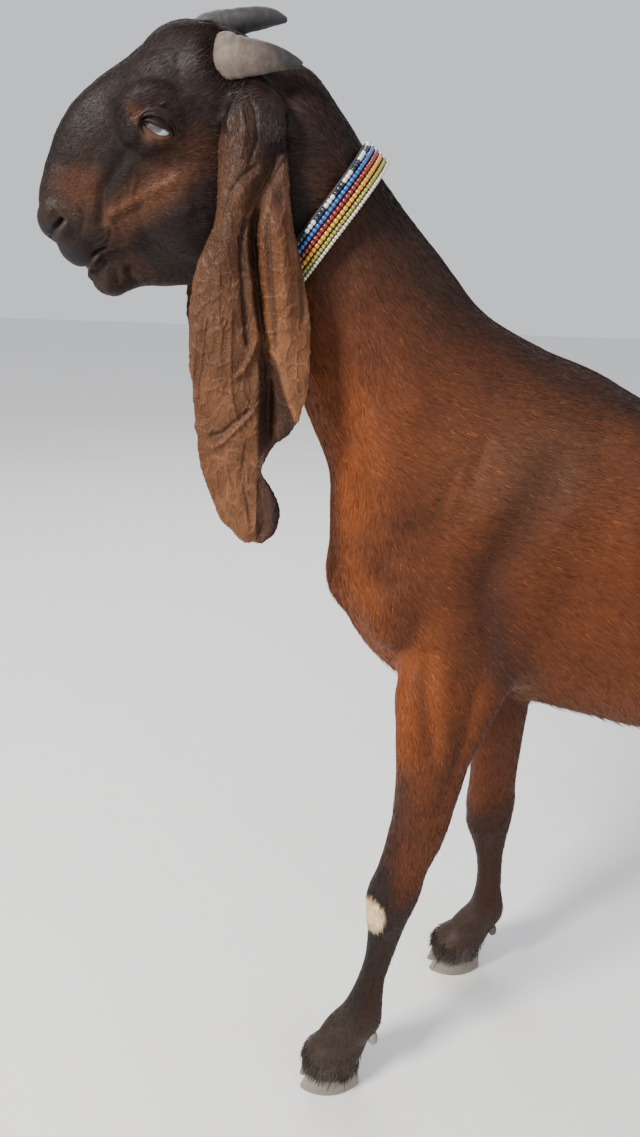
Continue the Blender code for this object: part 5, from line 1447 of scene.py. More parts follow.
def skin_colour(points, normals, region):
    """The colour at points of one region of the animal."""
    if region == "ears":
        near = points[:, 1] < HEAD.translation.y
        return np.where(near[:, None], ear_colour(points, -1), ear_colour(points, 1))
    return body_colour(points, normals) if region == "body" else head_colour(points, normals)


# Unwrapping: each region has its own block of the unit square, and is unrolled by a plain formula

UV_BLOCKS = {
    "trunk": (0.02, 0.02, 0.60, 0.46),
    "head": (0.64, 0.02, 0.34, 0.30),
    "leg0": (0.02, 0.52, 0.20, 0.46),
    "leg1": (0.24, 0.52, 0.20, 0.46),
    "leg2": (0.46, 0.52, 0.20, 0.46),
    "leg3": (0.68, 0.52, 0.15, 0.46),
    "ear0": (0.64, 0.34, 0.08, 0.16),
    "ear1": (0.73, 0.34, 0.08, 0.16),
    "ear2": (0.82, 0.34, 0.08, 0.16),
    "ear3": (0.91, 0.34, 0.08, 0.16),
}
UV_PATCH = 0.003
BLOCK_INSET = 0.04

# What the blocks span: where each begins and how far it reaches, in metres
HEAD_MIDDLE_DOWN = 0.03
HEAD_REAR, HEAD_SPAN = 0.26, 0.45
EAR_FRONT, EAR_ACROSS = 0.08, 0.17
EAR_ABOVE, EAR_DROP = 0.02, 0.46
LEG_SPAN = 0.56
TRUNK_FRONT, TRUNK_SPAN = 0.40, 1.12
ROOT_SINK = 0.0001


def block_of(points, normals, region):
    """The name of the block in which each point lies."""
    local = in_goat(points)
    if region == "head":
        return np.full(len(points), "head")
    if region == "ears":
        right = points[:, 1] > HEAD.translation.y
        outer = (normals[:, 1] > 0) == right
        return np.char.add("ear", (right * 2 + outer * 1).astype(int).astype(str))
    leg = (local[:, 2] < 0.52) & (np.abs(local[:, 1]) > 0.02)
    number = (local[:, 0] > 0.2) * 2 + (local[:, 1] > 0)
    names = np.char.add("leg", number.astype(int).astype(str))
    return np.where(leg, names, "trunk")


def unrolled(points, block):
    """Places of points in their block, both from 0 to 1 and rounding on at the seam."""
    local = in_goat(points)
    if block == "head":
        forward, out, up = moved(points, HEAD.inverted()).T
        turn = np.arctan2(out, -(up + HEAD_MIDDLE_DOWN)) / (2 * math.pi) + 0.5
        return np.stack([turn, (forward + HEAD_REAR) / HEAD_SPAN], 1)
    if block.startswith("ear"):
        drop, across = ear_flat(points, 1 if block in ("ear2", "ear3") else -1)
        return np.stack([(across + EAR_FRONT) / EAR_ACROSS, (EAR_ABOVE + drop) / EAR_DROP], 1)
    if block.startswith("leg"):
        name, leg, side, shift = LEG_TABLES[int(block[3])]
        rows = slab_path(leg, 3, side, shift)
        height = (rows[:, 1] + rows[:, 3]) / 2
        order = np.argsort(height)
        middle_x = np.interp(local[:, 2], height[order], ((rows[:, 0] + rows[:, 2]) / 2)[order])
        middle_y = np.interp(local[:, 2], height[order], rows[order, 4])
        turn = np.arctan2(local[:, 1] - middle_y, local[:, 0] - middle_x) / (2 * math.pi) + 0.5
        return np.stack([turn, local[:, 2] / LEG_SPAN], 1)
    rows = np.array([((a[0] + b[0]) / 2, (a[1] + b[1]) / 2) for a, b, *_ in TRUNK_STATIONS])
    order = np.argsort(rows[:, 0])
    middle_z = np.interp(local[:, 0], rows[order, 0], rows[order, 1])
    turn = np.arctan2(local[:, 1], -(local[:, 2] - middle_z)) / (2 * math.pi) + 0.5
    return np.stack([turn, (local[:, 0] + TRUNK_FRONT) / TRUNK_SPAN], 1)


def place_in_block(places, block):
    x, y, wide, high = UV_BLOCKS[block]
    u = x + wide * (BLOCK_INSET + (1 - 2 * BLOCK_INSET) * places[:, 0])
    v = y + high * np.clip(places[:, 1], 0, 1)
    return np.stack([u, v], 1)


def put_skin_uv(mesh, region):
    """The map OFBake for a skin: every face unrolled in its own block, closed at the seams."""
    points, normals = points_of(mesh), normals_of(mesh)
    corners = read(mesh.loops, "vertex_index", 1)
    totals = read(mesh.polygons, "loop_total", 1)
    owner = np.repeat(np.arange(len(totals)), totals)
    first = corners[read(mesh.polygons, "loop_start", 1)]
    names = block_of(points[first], normals[first], region)
    uv = np.zeros((len(corners), 2))
    for block in np.unique(names):
        mine = names[owner] == block
        places = unrolled(points[corners[mine]], block)
        anchor = unrolled(points[first[owner[mine]]], block)
        if not block.startswith("ear"):
            places[:, 0] -= np.round(places[:, 0] - anchor[:, 0])
        uv[mine] = place_in_block(places, block)
    put_map(mesh, np.clip(uv, 0, 1))


def put_map(mesh, places):
    layer = mesh.uv_layers.new(name="OFBake")
    layer.data.foreach_set("uv", places.astype(np.float32).ravel())


def root_map(points, normals, region):
    """The place on the map of each tuft's root."""
    names = block_of(points, normals, region)
    uv = np.zeros((len(points), 2))
    for block in np.unique(names):
        mine = names == block
        uv[mine] = place_in_block(unrolled(points[mine], block), block)
    return uv


def put_patches(mesh, uv, patch):
    """The map OFBake for tufts: each is a small patch at its root's place."""
    places = (uv[:, None, :] + (np.array(patch) * UV_PATCH)[None, :, :]).reshape(-1, 2)
    put_map(mesh, places[read(mesh.loops, "vertex_index", 1)])


# Coat


def scatter(points, triangles, weight, count, rng):
    """Places on a mesh spread evenly by weighted area: each one's three corners and its shares of them."""
    a, b, c = (points[triangles[:, k]] for k in range(3))
    area = np.linalg.norm(np.cross(b - a, c - a), axis=1) / 2
    share = area * weight[triangles].mean(1)
    total = np.cumsum(share)
    picks = (np.arange(count) + rng.random(count)) / count * total[-1]
    index = np.minimum(np.searchsorted(total, picks), len(triangles) - 1)
    r1, r2 = np.sqrt(rng.random(count)), rng.random(count)
    shares = np.stack([1 - r1, r1 * (1 - r2), r1 * r2], 1)
    return triangles[index], shares


def blended(values, corners, shares):
    return (values[corners] * shares[:, :, None]).sum(1)


def unit(vectors):
    return vectors / (np.linalg.norm(vectors, axis=1, keepdims=True) + 1e-12)


# The whorl of hair at the side of the chest, and how far it reaches
WHORL = (-0.215, 0.0, 0.930)
WHORL_REACH = 0.050


def body_flow(points, normals):
    """The direction in which the hair lies on trunk, neck, legs and tail."""
    local = in_goat(points)
    x, y, z = local.T
    flow = np.tile(np.array((1.0, 0.0, -0.35)), (len(points), 1))
    side = np.abs(normals[:, 1])
    low = smoothstep(-z, -0.80, -0.60)
    flow = mix(flow, (0.75, 0.0, -0.75), side * low)
    neck = smoothstep(-x, 0.10, 0.20) * smoothstep(z, 0.84, 0.94)
    flow = mix(flow, (0.55, 0.0, -0.80), neck)
    chest = smoothstep(-x, 0.14, 0.20) * (1 - smoothstep(z, 0.80, 0.90))
    flow = mix(flow, (0.15, 0.0, -1.0), chest)
    legs = 1 - smoothstep(z, 0.50, 0.64)
    flow = mix(flow, (0.10, 0.0, -1.0), legs)
    thigh = smoothstep(x, 0.42, 0.56) * (1 - smoothstep(z, 0.70, 0.80))
    flow = mix(flow, (0.30, 0.0, -1.0), thigh)
    swirl = value_noise(local, 0.09, 41)
    flow[:, 0] += 0.22 * swirl
    flow[:, 2] += 0.16 * value_noise(local, 0.07, 42)
    flow[:, 1] += 0.22 * value_noise(local, 0.08, 43)
    away = local - np.array(WHORL)
    away[:, 1] = 0
    near = bump(np.linalg.norm(away, axis=1), WHORL_REACH) * side
    around = np.stack([-away[:, 2], 0 * y, away[:, 0]], 1) * 18 + away * 10
    return flow + around * near[:, None]


def head_flow(points, normals):
    """The direction in which the hair lies on the head: from nose to poll, round the eyes."""
    local = in_head(points)
    turn = HEAD.to_3x3()
    back = np.array(turn @ Vector((-1, 0, 0)))
    down = np.array(turn @ Vector((0, 0, -1)))
    flow = np.tile(back, (len(points), 1))
    low = smoothstep(-local[:, 2], -0.01, 0.06)
    flow = flow + down[None, :] * (0.15 + 0.75 * low)[:, None]
    neck = smoothstep(-local[:, 0], 0.085, 0.125)
    flow = mix(flow, (0.55, 0.0, -0.85), neck)
    flow[:, 0] += 0.25 * value_noise(local, 0.020, 44)
    flow[:, 2] += 0.25 * value_noise(local, 0.020, 45)
    return flow


def ear_flow(points, normals):
    flow = np.tile(np.array((0.05, 0.0, -1.0)), (len(points), 1))
    flow[:, 0] += 0.35 * value_noise(points, 0.030, 46)
    return flow


BLADE_FACES = ((0, 2, 1), (1, 2, 3), (0, 3, 2), (0, 1, 3))


def blade_mesh(name, roots, normals, flow, length, width, lift, colours, uv, rng):
    """Short flat tapered tufts, each a closed form of four triangles, lying along the flow."""
    count = len(roots)
    along = unit(flow - normals * np.sum(flow * normals, 1, keepdims=True))
    turn = rng.normal(0, 0.16, count)[:, None]
    across = np.cross(normals, along)
    along = unit(along + across * turn)
    across = np.cross(normals, along)
    half = across * (width / 2)[:, None]
    left = roots - half - normals * ROOT_SINK
    right = roots + half - normals * ROOT_SINK
    crown = roots + along * (length * 0.30)[:, None] + normals * (lift * 0.55)[:, None]
    tip = (roots + along * length[:, None] + normals * lift[:, None]
           + across * (rng.normal(0, 0.06, count) * length)[:, None])
    points = np.stack([left, right, crown, tip], 1).reshape(-1, 3)
    start = np.arange(count)[:, None] * 4
    faces = np.stack([start + np.array(corners) for corners in BLADE_FACES], 1).reshape(-1, 3)
    mesh = mesh_from_arrays(name, points, faces)
    shade_smooth(mesh)
    rows = np.repeat(colours, 4, axis=0)
    fade = np.tile(np.array((0.94, 0.94, 1.0, 1.05)), count)[:, None]
    put_colour(mesh, "marking", np.clip(rows * fade, 0, 1))
    put_patches(mesh, uv, ((-0.5, -0.5), (0.5, -0.5), (0.0, 0.0), (0.0, 0.5)))
    tilted = unit(normals + along * rng.normal(-0.10, 0.10, count)[:, None]
                  + across * rng.normal(0, 0.20, count)[:, None])
    mesh.normals_split_custom_set_from_vertices(np.repeat(tilted, 4, axis=0).tolist())
    return mesh


def coat_over(name, ob, region, count, sizes, material, seed):
    """Short hair over one skin, as a joined mesh of closed tufts."""
    rng = np.random.default_rng(seed)
    mesh = ob.data
    points, normals, triangles = points_of(mesh), normals_of(mesh), triangles_of(mesh)
    weight, length, width, lift = sizes(points, normals)
    corners, shares = scatter(points, triangles, weight, count, rng)
    roots = blended(points, corners, shares)
    facing = unit(blended(normals, corners, shares))
    size = blended(np.stack([length, width, lift], 1), corners, shares)
    flow = {"body": body_flow, "head": head_flow, "ears": ear_flow}[region](roots, facing)
    colours = skin_colour(roots, facing, region)
    bright = np.exp(rng.normal(-0.02, 0.44 if region == "head" else 0.30, len(roots)))
    bright *= 1 + 0.15 * value_noise(roots, 0.011, 81) + 0.10 * value_noise(roots, 0.028, 82)
    warm = rng.normal(0, 0.05, len(roots))
    colours = colours * bright[:, None] * (1 + warm[:, None] * np.array((1.0, 0.1, -0.8)))
    uv = root_map(roots, facing, region)
    spread = np.exp(rng.normal(0, 0.14, (len(roots), 3)))
    tufts = blade_mesh(name, roots, facing, flow, *(size * spread).T, colours, uv, rng)
    tufts.materials.append(material)
    piece = new_object(name, tufts)
    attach(piece, "root")
    return piece


def body_sizes(points, normals):
    """How dense, long, wide and raised the hair is at each point of the body."""
    local = in_goat(points)
    z = local[:, 2]
    low = 1 - smoothstep(z, 0.10, 0.45)
    weight = 1.0 + 0.9 * low
    length = chosen("body_hair") * (1 - 0.41 * low)
    width = 0.00105 - 0.00025 * low
    lift = 0.0006 - 0.0002 * low
    callus = spot(local, (-197, -116, 291), (12, 30, 16)) > 0.5
    hidden = z < 0.028
    weight = np.where(callus | hidden, 0.0, weight)
    unseen = 1 - 0.45 * smoothstep(local[:, 1], 0.02, 0.08)
    return weight * unseen, length, width, lift


def head_sizes(points, normals):
    """The same for the head: shortest on muzzle and lids."""
    local = in_head(points)
    back = smoothstep(-local[:, 0], -0.09, 0.10)
    length = chosen("head_hair") * (1 + 1.16 * back)
    width = 0.0007 + 0.0002 * back
    lift = 0.0004 + 0.0001 * back
    pad = smoothstep(local[:, 0] - 0.30 * (local[:, 2] + 0.010) * (local[:, 2] < 0), 0.140, 0.148)
    nostril = near_line(local, NOSTRIL_LINE, 0.007)
    mouth = near_line(local, MOUTH_LINE, 0.004)
    bare = np.clip(pad * (local[:, 2] > -0.042) + nostril + mouth, 0, 1)
    ears = on_ears(points)
    eye = spot(local, (-3, 58, 8), (16, 30, 16))
    return np.where((ears > 0.55) | (eye > 0.45), 0.0, 1.4 - 0.5 * back) * (1 - bare), length, width, lift


def ear_sizes(points, normals):
    """The same for the ears."""
    drop, across = ear_flat(points, -1)
    top = 1 - smoothstep(drop, 0.020, 0.100)
    weight = np.where(on_ears(points) > 0.45, 1.0, 0.0) * (1 + 1.2 * top)
    return weight, chosen("ear_hair") * (1 + 0.72 * top), 0.0006 + 0.0002 * top, 0.00022 + 0.0002 * top


# Where the longer hair grows


def tail_place(local, normals):
    return (smoothstep(local[:, 0], 0.640, 0.665) * (local[:, 2] > 0.72) * bump(local[:, 1], 0.030)
            * (0.25 + smoothstep(-normals[:, 2] + 0.6 * np.abs(normals[:, 1]), 0.0, 0.6)))


def crest_place(local, normals):
    return bump(local[:, 1], 0.014) * (normals[:, 2] > 0.25) * (local[:, 2] > 0.84) * (local[:, 0] < 0.66)


def belly_place(local, normals):
    trunk = (local[:, 2] > 0.49) & (local[:, 2] < 0.66) & (local[:, 0] > -0.20)
    return smoothstep(-normals[:, 2], 0.35, 0.9) * trunk


def chest_place(local, normals):
    high = (local[:, 2] > 0.60) & (local[:, 2] < 1.0)
    return smoothstep(-normals[:, 0], 0.4, 0.9) * bump(local[:, 1], 0.035) * high


def leg_back_place(local, normals):
    return smoothstep(normals[:, 0], 0.5, 0.95) * (local[:, 2] > 0.10) * (local[:, 2] < 0.60)


def coronet_place(local, normals):
    z = local[:, 2]
    front = smoothstep(-normals[:, 0], -0.2, 0.6)
    clumps = smoothstep(value_noise(local, 0.006, 71), -0.5, 0.5)
    band = (z > 0.028 + 0.006 * front) * (1 - smoothstep(z, 0.044, 0.062))
    return band * (0.5 + 1.4 * front) * (0.2 + clumps)


def poll_place(local, normals):
    return bump(line_distance(local, POLL_LINE), 0.0065)


POLL_LINE = metres(((-86, 18, 36), (-79, 40, 27), (-72, 50, 14), (-69, 54, 2), (-78, 57, -9)))

# Longer hair: name, count, length, width, how far it rises and hangs, its direction, and where it grows
POLL_HAIR = (("poll", 1500, 0.0095, 0.0008, 0.26, 0.04, (0.74, -0.05, 0.67), poll_place),)
LONG_HAIR = (
    ("tail", 1500, 0.048, 0.0017, 0.10, 0.30, (0.35, 0.0, -1.0), tail_place),
    ("crest", 2600, 0.013, 0.0009, 0.06, 0.03, (0.80, 0.0, -0.45), crest_place),
    ("belly", 2600, 0.016, 0.0010, 0.12, 0.20, (1.00, 0.0, -0.50), belly_place),
    ("chest", 1300, 0.013, 0.0009, 0.07, 0.10, (0.20, 0.0, -1.00), chest_place),
    ("leg_backs", 2200, 0.010, 0.0008, 0.10, 0.08, (0.20, 0.0, -1.00), leg_back_place),
    ("coronets", 3000, 0.0115, 0.0011, 0.42, 0.18, (-0.35, 0.0, -0.90), coronet_place),
)
LOCK_LEVELS = ((0.0, 1.0), (0.35, 0.95), (0.72, 0.60))


def lock_mesh(name, roots, normals, flow, length, width, rise, droop, colours, uv, rng):
    """Longer tapered locks that bend down, each a closed form of sixteen triangles."""
    count = len(roots)
    tangent = unit(flow - normals * np.sum(flow * normals, 1, keepdims=True))
    tangent = unit(tangent + np.cross(normals, tangent) * rng.normal(0, 0.22, count)[:, None])
    across = np.cross(normals, tangent)
    down = np.array((0.0, 0.0, -1.0))
    rows = []
    for s, wide in LOCK_LEVELS:
        centre = (roots + tangent * (length * s)[:, None]
                  + normals * (rise * length * s * (1.4 - 0.7 * s) - 0.0008 * (s == 0))[:, None]
                  + down * (droop * length * s * s)[:, None])
        half = across * (width * wide / 2)[:, None]
        rows += [centre - half, centre + normals * (width * wide * 0.35)[:, None], centre + half]
    tip = (roots + tangent * length[:, None] + normals * (rise * length * 0.7)[:, None]
           + down * (droop * length)[:, None])
    points = np.stack(rows + [tip], 1).reshape(-1, 3)
    pattern = [(0, 1, 2)]
    for k in (0, 3):
        for a, b in ((0, 1), (1, 2), (2, 0)):
            pattern += [(k + a, k + 3 + a, k + b), (k + b, k + 3 + a, k + 3 + b)]
    pattern += [(6, 9, 7), (7, 9, 8), (8, 9, 6)]
    start = np.arange(count)[:, None] * 10
    faces = np.stack([start + np.array(k) for k in pattern], 1).reshape(-1, 3)
    mesh = mesh_from_arrays(name, points, faces)
    outward(mesh)
    shade_smooth(mesh)
    put_colour(mesh, "marking", np.clip(np.repeat(colours, 10, axis=0), 0, 1))
    put_patches(mesh, uv, [(0.4 * (k % 3 - 1), 0.3 * (k // 3 - 1)) for k in range(9)] + [(0.0, 0.5)])
    return mesh


def long_hair(ob, region, table, material, seed):
    """Longer hair: along the body's edges, on the tail, over the hooves and round the horns' roots."""
    mesh = ob.data
    points, normals, triangles = points_of(mesh), normals_of(mesh), triangles_of(mesh)
    local = in_head(points) if region == "head" else in_goat(points)
    for index, (name, count, length, width, rise, droop, flow, place) in enumerate(table):
        rng = np.random.default_rng(seed + index)
        length = chosen("tail_hair") if name == "tail" else length
        weight = place(local, normals).astype(float)
        corners, shares = scatter(points, triangles, weight, count, rng)
        roots = blended(points, corners, shares)
        facing = unit(blended(normals, corners, shares))
        spread = np.exp(rng.normal(0, 0.27 if name == "coronets" else 0.22, (count, 2)))
        colours = skin_colour(roots, facing, region) * np.exp(rng.normal(-0.12, 0.20, count))[:, None]
        flows = np.tile(np.array(flow), (count, 1)) + rng.normal(0, 0.12, (count, 3))
        hair = lock_mesh("coat_" + name, roots, facing, flows, length * spread[:, 0], width * spread[:, 1],
                         rise, droop, colours, root_map(roots, facing, region), rng)
        hair.materials.append(material)
        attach(new_object("coat_" + name, hair), "root")


# Materials


def put(node, tree, **values):
    """Sets a node's properties and inputs; an input takes a number, a colour or a socket that feeds it."""
    for key, value in values.items():
        if key not in node.inputs:
            setattr(node, key, value)
        elif isinstance(value, bpy.types.NodeSocket):
            tree.links.new(value, node.inputs[key])
        else:
            node.inputs[key].default_value = value
    return node


def add(tree, kind, **values):
    return put(tree.nodes.new(kind), tree, **values)


def maths(tree, operation, *given):
    """The result of a math node whose inputs are numbers or sockets."""
    node = add(tree, "ShaderNodeMath", operation=operation)
    for socket, value in zip(node.inputs, given):
        if isinstance(value, float):
            socket.default_value = value
        else:
            tree.links.new(value, socket)
    return node.outputs["Value"]


def new_material(name, **values):
    """A material with the values given to its shader, with its node tree and the shader."""
    material = bpy.data.materials.new(name)
    material.use_nodes = True
    tree = material.node_tree
    return material, tree, put(tree.nodes["Principled BSDF"], tree, **values)


def effect_group(name, inputs, output):
    """A new node group for an effect that materials share, with what it is given and its output node."""
    tree = bpy.data.node_groups.new(name, "ShaderNodeTree")
    for label, kind, value in inputs:
        tree.interface.new_socket(label, in_out="INPUT", socket_type=kind).default_value = value
    tree.interface.new_socket(output[0], in_out="OUTPUT", socket_type=output[1])
    return tree, add(tree, "NodeGroupInput").outputs, add(tree, "NodeGroupOutput")


def noise_value(tree, detail, rough, scale, stretch=None):
    """Noise in the object's own space."""
    source = add(tree, "ShaderNodeTexCoord").outputs["Object"]
    if stretch:
        source = add(tree, "ShaderNodeMapping", Scale=stretch, Vector=source).outputs["Vector"]
    made = add(tree, "ShaderNodeTexNoise", Scale=scale, Detail=detail, Roughness=rough, Vector=source)
    return made.outputs["Fac"]


COLOUR = ("Color", "NodeSocketColor")
HEIGHT = ("Height", "NodeSocketFloat")


def specked_group():
    """Makes a colour lighter and darker in fine specks."""
    tree, given, result = effect_group("specked", (
        ("Color", "NodeSocketColor", (0.5, 0.5, 0.5, 1.0)), ("Scale", "NodeSocketFloat", 400.0),
        ("Amount", "NodeSocketFloat", 0.1)), COLOUR)
    amount = given["Amount"]
    levels = add(tree, "ShaderNodeMapRange", Value=noise_value(tree, 4.0, 0.6, given["Scale"]), **{
        "From Min": 0.30, "From Max": 0.70, "To Min": maths(tree, "SUBTRACT", 1.0, amount),
        "To Max": maths(tree, "ADD", 1.0, amount)})
    times = add(tree, "ShaderNodeVectorMath", operation="SCALE")
    put(times, tree, Vector=given["Color"], Scale=levels.outputs["Result"])
    put(result, tree, Color=times.outputs["Vector"])
    return tree


def two_tones_group():
    """Mixes two colours by noise."""
    tree, given, result = effect_group("two_tones", (
        ("First", "NodeSocketColor", (0.5, 0.5, 0.5, 1.0)),
        ("Second", "NodeSocketColor", (0.4, 0.4, 0.4, 1.0)),
        ("Scale", "NodeSocketFloat", 60.0)), COLOUR)
    mixed = add(tree, "ShaderNodeMix", data_type="RGBA")
    first, second = [s for s in mixed.inputs if s.type == "RGBA"]
    tree.links.new(noise_value(tree, 4.0, 0.6, given["Scale"]), mixed.inputs[0])
    tree.links.new(given["First"], first)
    tree.links.new(given["Second"], second)
    put(result, tree, Color=[s for s in mixed.outputs if s.type == "RGBA"][0])
    return tree


def grain_group():
    """The height of fine uneven bumps."""
    tree, given, result = effect_group("grain", (("Scale", "NodeSocketFloat", 260.0),), HEIGHT)
    put(result, tree, Height=noise_value(tree, 5.0, 0.62, given["Scale"]))
    return tree


def veins_group():
    """Adds a net of thin veins and creases to a height where the ears are."""
    tree, given, result = effect_group("veins", (("Height", "NodeSocketFloat", 0.0),), HEIGHT)
    total = given["Height"]
    eared = add(tree, "ShaderNodeAttribute", attribute_name="eared").outputs["Fac"]
    for scale, thin, height in ((75.0, 0.035, 1.7), (170.0, 0.045, 1.1)):
        centred = maths(tree, "SUBTRACT", noise_value(tree, 2.0, 0.45, scale, (1.2, 0.8, 0.75)), 0.5)
        ridge = add(tree, "ShaderNodeMapRange", interpolation_type="SMOOTHSTEP", **{
            "Value": maths(tree, "ABSOLUTE", centred), "From Max": thin, "To Min": height, "To Max": 0.0})
        share = maths(tree, "MULTIPLY", ridge.outputs["Result"], eared)
        total = maths(tree, "ADD", share, total)
    put(result, tree, Height=total)
    return tree


EFFECTS = {"specked": specked_group, "two_tones": two_tones_group, "grain": grain_group,
           "veins": veins_group}


def effect(tree, name, **values):
    """What one of the shared effects gives for these values."""
    node = add(tree, "ShaderNodeGroup", node_tree=bpy.data.node_groups.get(name) or EFFECTS[name]())
    return put(node, tree, **values).outputs[0]


def rough_surface(tree, shader, bumps, veined=False):
    """Fine bumps: their scale, strength and depth."""
    scale, strength, distance = bumps
    height = effect(tree, "grain", Scale=scale)
    if veined:
        height = effect(tree, "veins", Height=height)
    raised = add(tree, "ShaderNodeBump", Strength=strength, Distance=distance, Height=height)
    put(shader, tree, Normal=raised.outputs["Normal"])


def marked_material(name, roughness, specks, bumps=None, coat=0.0, gloss=0.16, veined=False):
    """A material that takes its colour from the marking, with fine uneven specks and bumps."""
    material, tree, shader = new_material(name, Roughness=roughness, **{
        "Coat Weight": coat, "Coat Roughness": 0.25, "Specular IOR Level": gloss})
    marking = add(tree, "ShaderNodeAttribute", attribute_name="marking").outputs["Color"]
    tone = effect(tree, "specked", Color=marking, Scale=specks[0], Amount=specks[1])
    put(shader, tree, **{"Base Color": tone})
    if bumps:
        rough_surface(tree, shader, bumps, veined)
    return material


def plain_material(name, colour, roughness, coat=0.0, bumps=None, second=None, scale=60.0):
    """A material of two tones mixed by noise, with fine bumps."""
    material, tree, shader = new_material(name, Roughness=roughness, **{
        "Coat Weight": coat, "Coat Roughness": 0.05})
    second = second or [0.75 * v for v in colour]
    tones = effect(tree, "two_tones", First=(*colour, 1), Second=(*second, 1), Scale=scale)
    put(shader, tree, **{"Base Color": tones})
    if bumps:
        rough_surface(tree, shader, bumps)
    return material


HALO_GREY = (0.120, 0.122, 0.128)
IRIS_TAUPE = (0.050, 0.041, 0.036)
IRIS_FIBRE = (0.036, 0.028, 0.025)
PUPIL_BLACK = (0.010, 0.010, 0.012)
LIMBUS_BROWN = (0.040, 0.028, 0.026)

# Where the iris' middle lies on a ball of radius 1: towards the inner corner, and towards the upper lid
IRIS_ALONG = 0.31
IRIS_UP = 0.27


def eye_colours(points, side):
    """Pale wall eye: a bright crescent low and in front, the taupe iris up under the upper lid, whose
    darkness there is partly painted shade of the lid.
    """
    centre, along, across, out = (np.array(v) for v in eye_axes(side))
    local = unit(points - centre)
    a, b = local @ along, local @ across
    level, upward = local @ np.array((1.0, 0.0, 0.0)), local @ np.array((0.0, 0.0, 1.0))
    r = np.hypot(a - IRIS_ALONG, b - IRIS_UP)
    fibres = value_noise(points - centre, 0.0014, 51)
    colour = np.tile(np.array(chosen("eye_white")), (len(points), 1))
    colour = mix(colour, HALO_GREY, 1 - smoothstep(r, 0.58, 0.70))
    # The dark taupe iris high under the upper lid is partly painted shade of the lid
    iris = 1 - smoothstep(r, 0.48, 0.59)
    colour = mix(colour, IRIS_TAUPE, iris)
    colour = mix(colour, IRIS_FIBRE, iris * smoothstep(fibres, 0.0, 0.6))
    middle = IRIS_ALONG * along + IRIS_UP * across
    pupil = 1 - smoothstep(np.abs(upward - middle[2]), 0.07, 0.11)
    pupil = pupil * (1 - smoothstep(np.abs(level - middle[0]), 0.20, 0.28))
    colour = mix(colour, PUPIL_BLACK, pupil * iris)
    limbus = smoothstep(np.hypot(a / 0.92, (b - 0.02) / 0.46), 0.88, 1.02)
    colour = mix(colour, LIMBUS_BROWN, limbus)
    return np.clip(colour * (1 + 0.06 * fibres)[:, None], 0, 1)


# Stage

CAMERA_PLACE = (-0.345, -1.065, 1.140)
CAMERA_TURN = math.radians(4.0)
CAMERA_DOWN = math.radians(22.0)
CAMERA_ROLL = math.radians(2.5)
CAMERA_FOCAL = 964.0
PHOTO_HIGH = 1137.0
SENSOR = 36.0
FLOOR_HALF = 7.0


def area_light(name, place, target, size, power, colour):
    light = bpy.data.lights.new(name, "AREA")
    light.shape = "RECTANGLE"
    light.size = size[0]
    light.size_y = size[1]
    light.energy = power
    light.color = colour
    ob = bpy.data.objects.new(name, light)
    ob.location = Vector(place) + WITHERS
    aim = Vector(target) - Vector(place)
    ob.rotation_euler = aim.to_track_quat("-Z", "Y").to_euler()
    bpy.context.scene.collection.objects.link(ob)
    return ob


def build_stage(brightness):
    """Pale floor, soft lights and the photograph's camera."""
    a, t, k = CAMERA_TURN, CAMERA_DOWN, CAMERA_ROLL
    right = Vector((math.cos(a), -math.sin(a), 0))
    up = Vector((math.sin(a) * math.sin(t), math.cos(a) * math.sin(t), math.cos(t)))
    turned_right = right * math.cos(k) + up * math.sin(k)
    turned_up = up * math.cos(k) - right * math.sin(k)
    back = turned_right.cross(turned_up)
    camera = bpy.data.cameras.new("camera")
    camera.sensor_fit = "VERTICAL"
    camera.sensor_height = SENSOR
    camera.lens = CAMERA_FOCAL / PHOTO_HIGH * SENSOR
    camera.clip_start = 0.02
    view = bpy.data.objects.new("camera", camera)
    view.matrix_world = (Matrix.Translation(Vector(CAMERA_PLACE) + WITHERS)
                         @ Matrix((turned_right, turned_up, back)).transposed().to_4x4())
    bpy.context.scene.collection.objects.link(view)
    bpy.context.scene.camera = view
    material, tree, shader = new_material("floor", Roughness=0.9)
    levels = add(tree, "ShaderNodeMapRange", Value=noise_value(tree, 2.0, 0.55, 3.0), **{
        "To Min": 0.76, "To Max": 0.80})
    put(shader, tree, **{"Base Color": levels.outputs["Result"]})
    corners = [(x * FLOOR_HALF, y * FLOOR_HALF, -0.0005) for x, y in ((-1, -1), (1, -1), (1, 1), (-1, 1))]
    mesh = mesh_from_arrays("floor", np.array(corners), np.array(((0, 1, 2, 3),)))
    mesh.materials.append(material)
    floor = new_object("floor", mesh)
    world = bpy.data.worlds.new("studio")
    world.use_nodes = True
    background = world.node_tree.nodes["Background"]
    background.inputs["Color"].default_value = (0.93, 0.95, 1.0, 1)
    background.inputs["Strength"].default_value = 0.85 * brightness
    bpy.context.scene.world = world
    area_light("key", (-2.3, -1.7, 2.7), (-0.1, 0.0, 0.75), (0.8, 0.8), 230 * brightness, (1.0, 0.94, 0.86))
    area_light("fill", (1.6, -2.2, 1.6), (0.0, 0.0, 0.7), (2.0, 2.0), 16 * brightness, (0.92, 0.95, 1.0))
    area_light("rim", (-0.6, 2.2, 2.4), (0.0, 0.0, 0.8), (1.6, 1.6), 40 * brightness, (1.0, 1.0, 1.0))


# Operators


def built(name):
    ob = bpy.data.objects.get(name)
    if ob is None:
        raise RuntimeError("%s has not been built yet" % name)
    return ob


def joined_skins(skins):
    """One mesh of the head's, the body's and the lids' skins."""
    bm = bmesh.new()
    for ob in skins:
        bm.from_mesh(ob.data)
    mesh = bpy.data.meshes.new("skin")
    bm.to_mesh(mesh)
    bm.free()
    return mesh


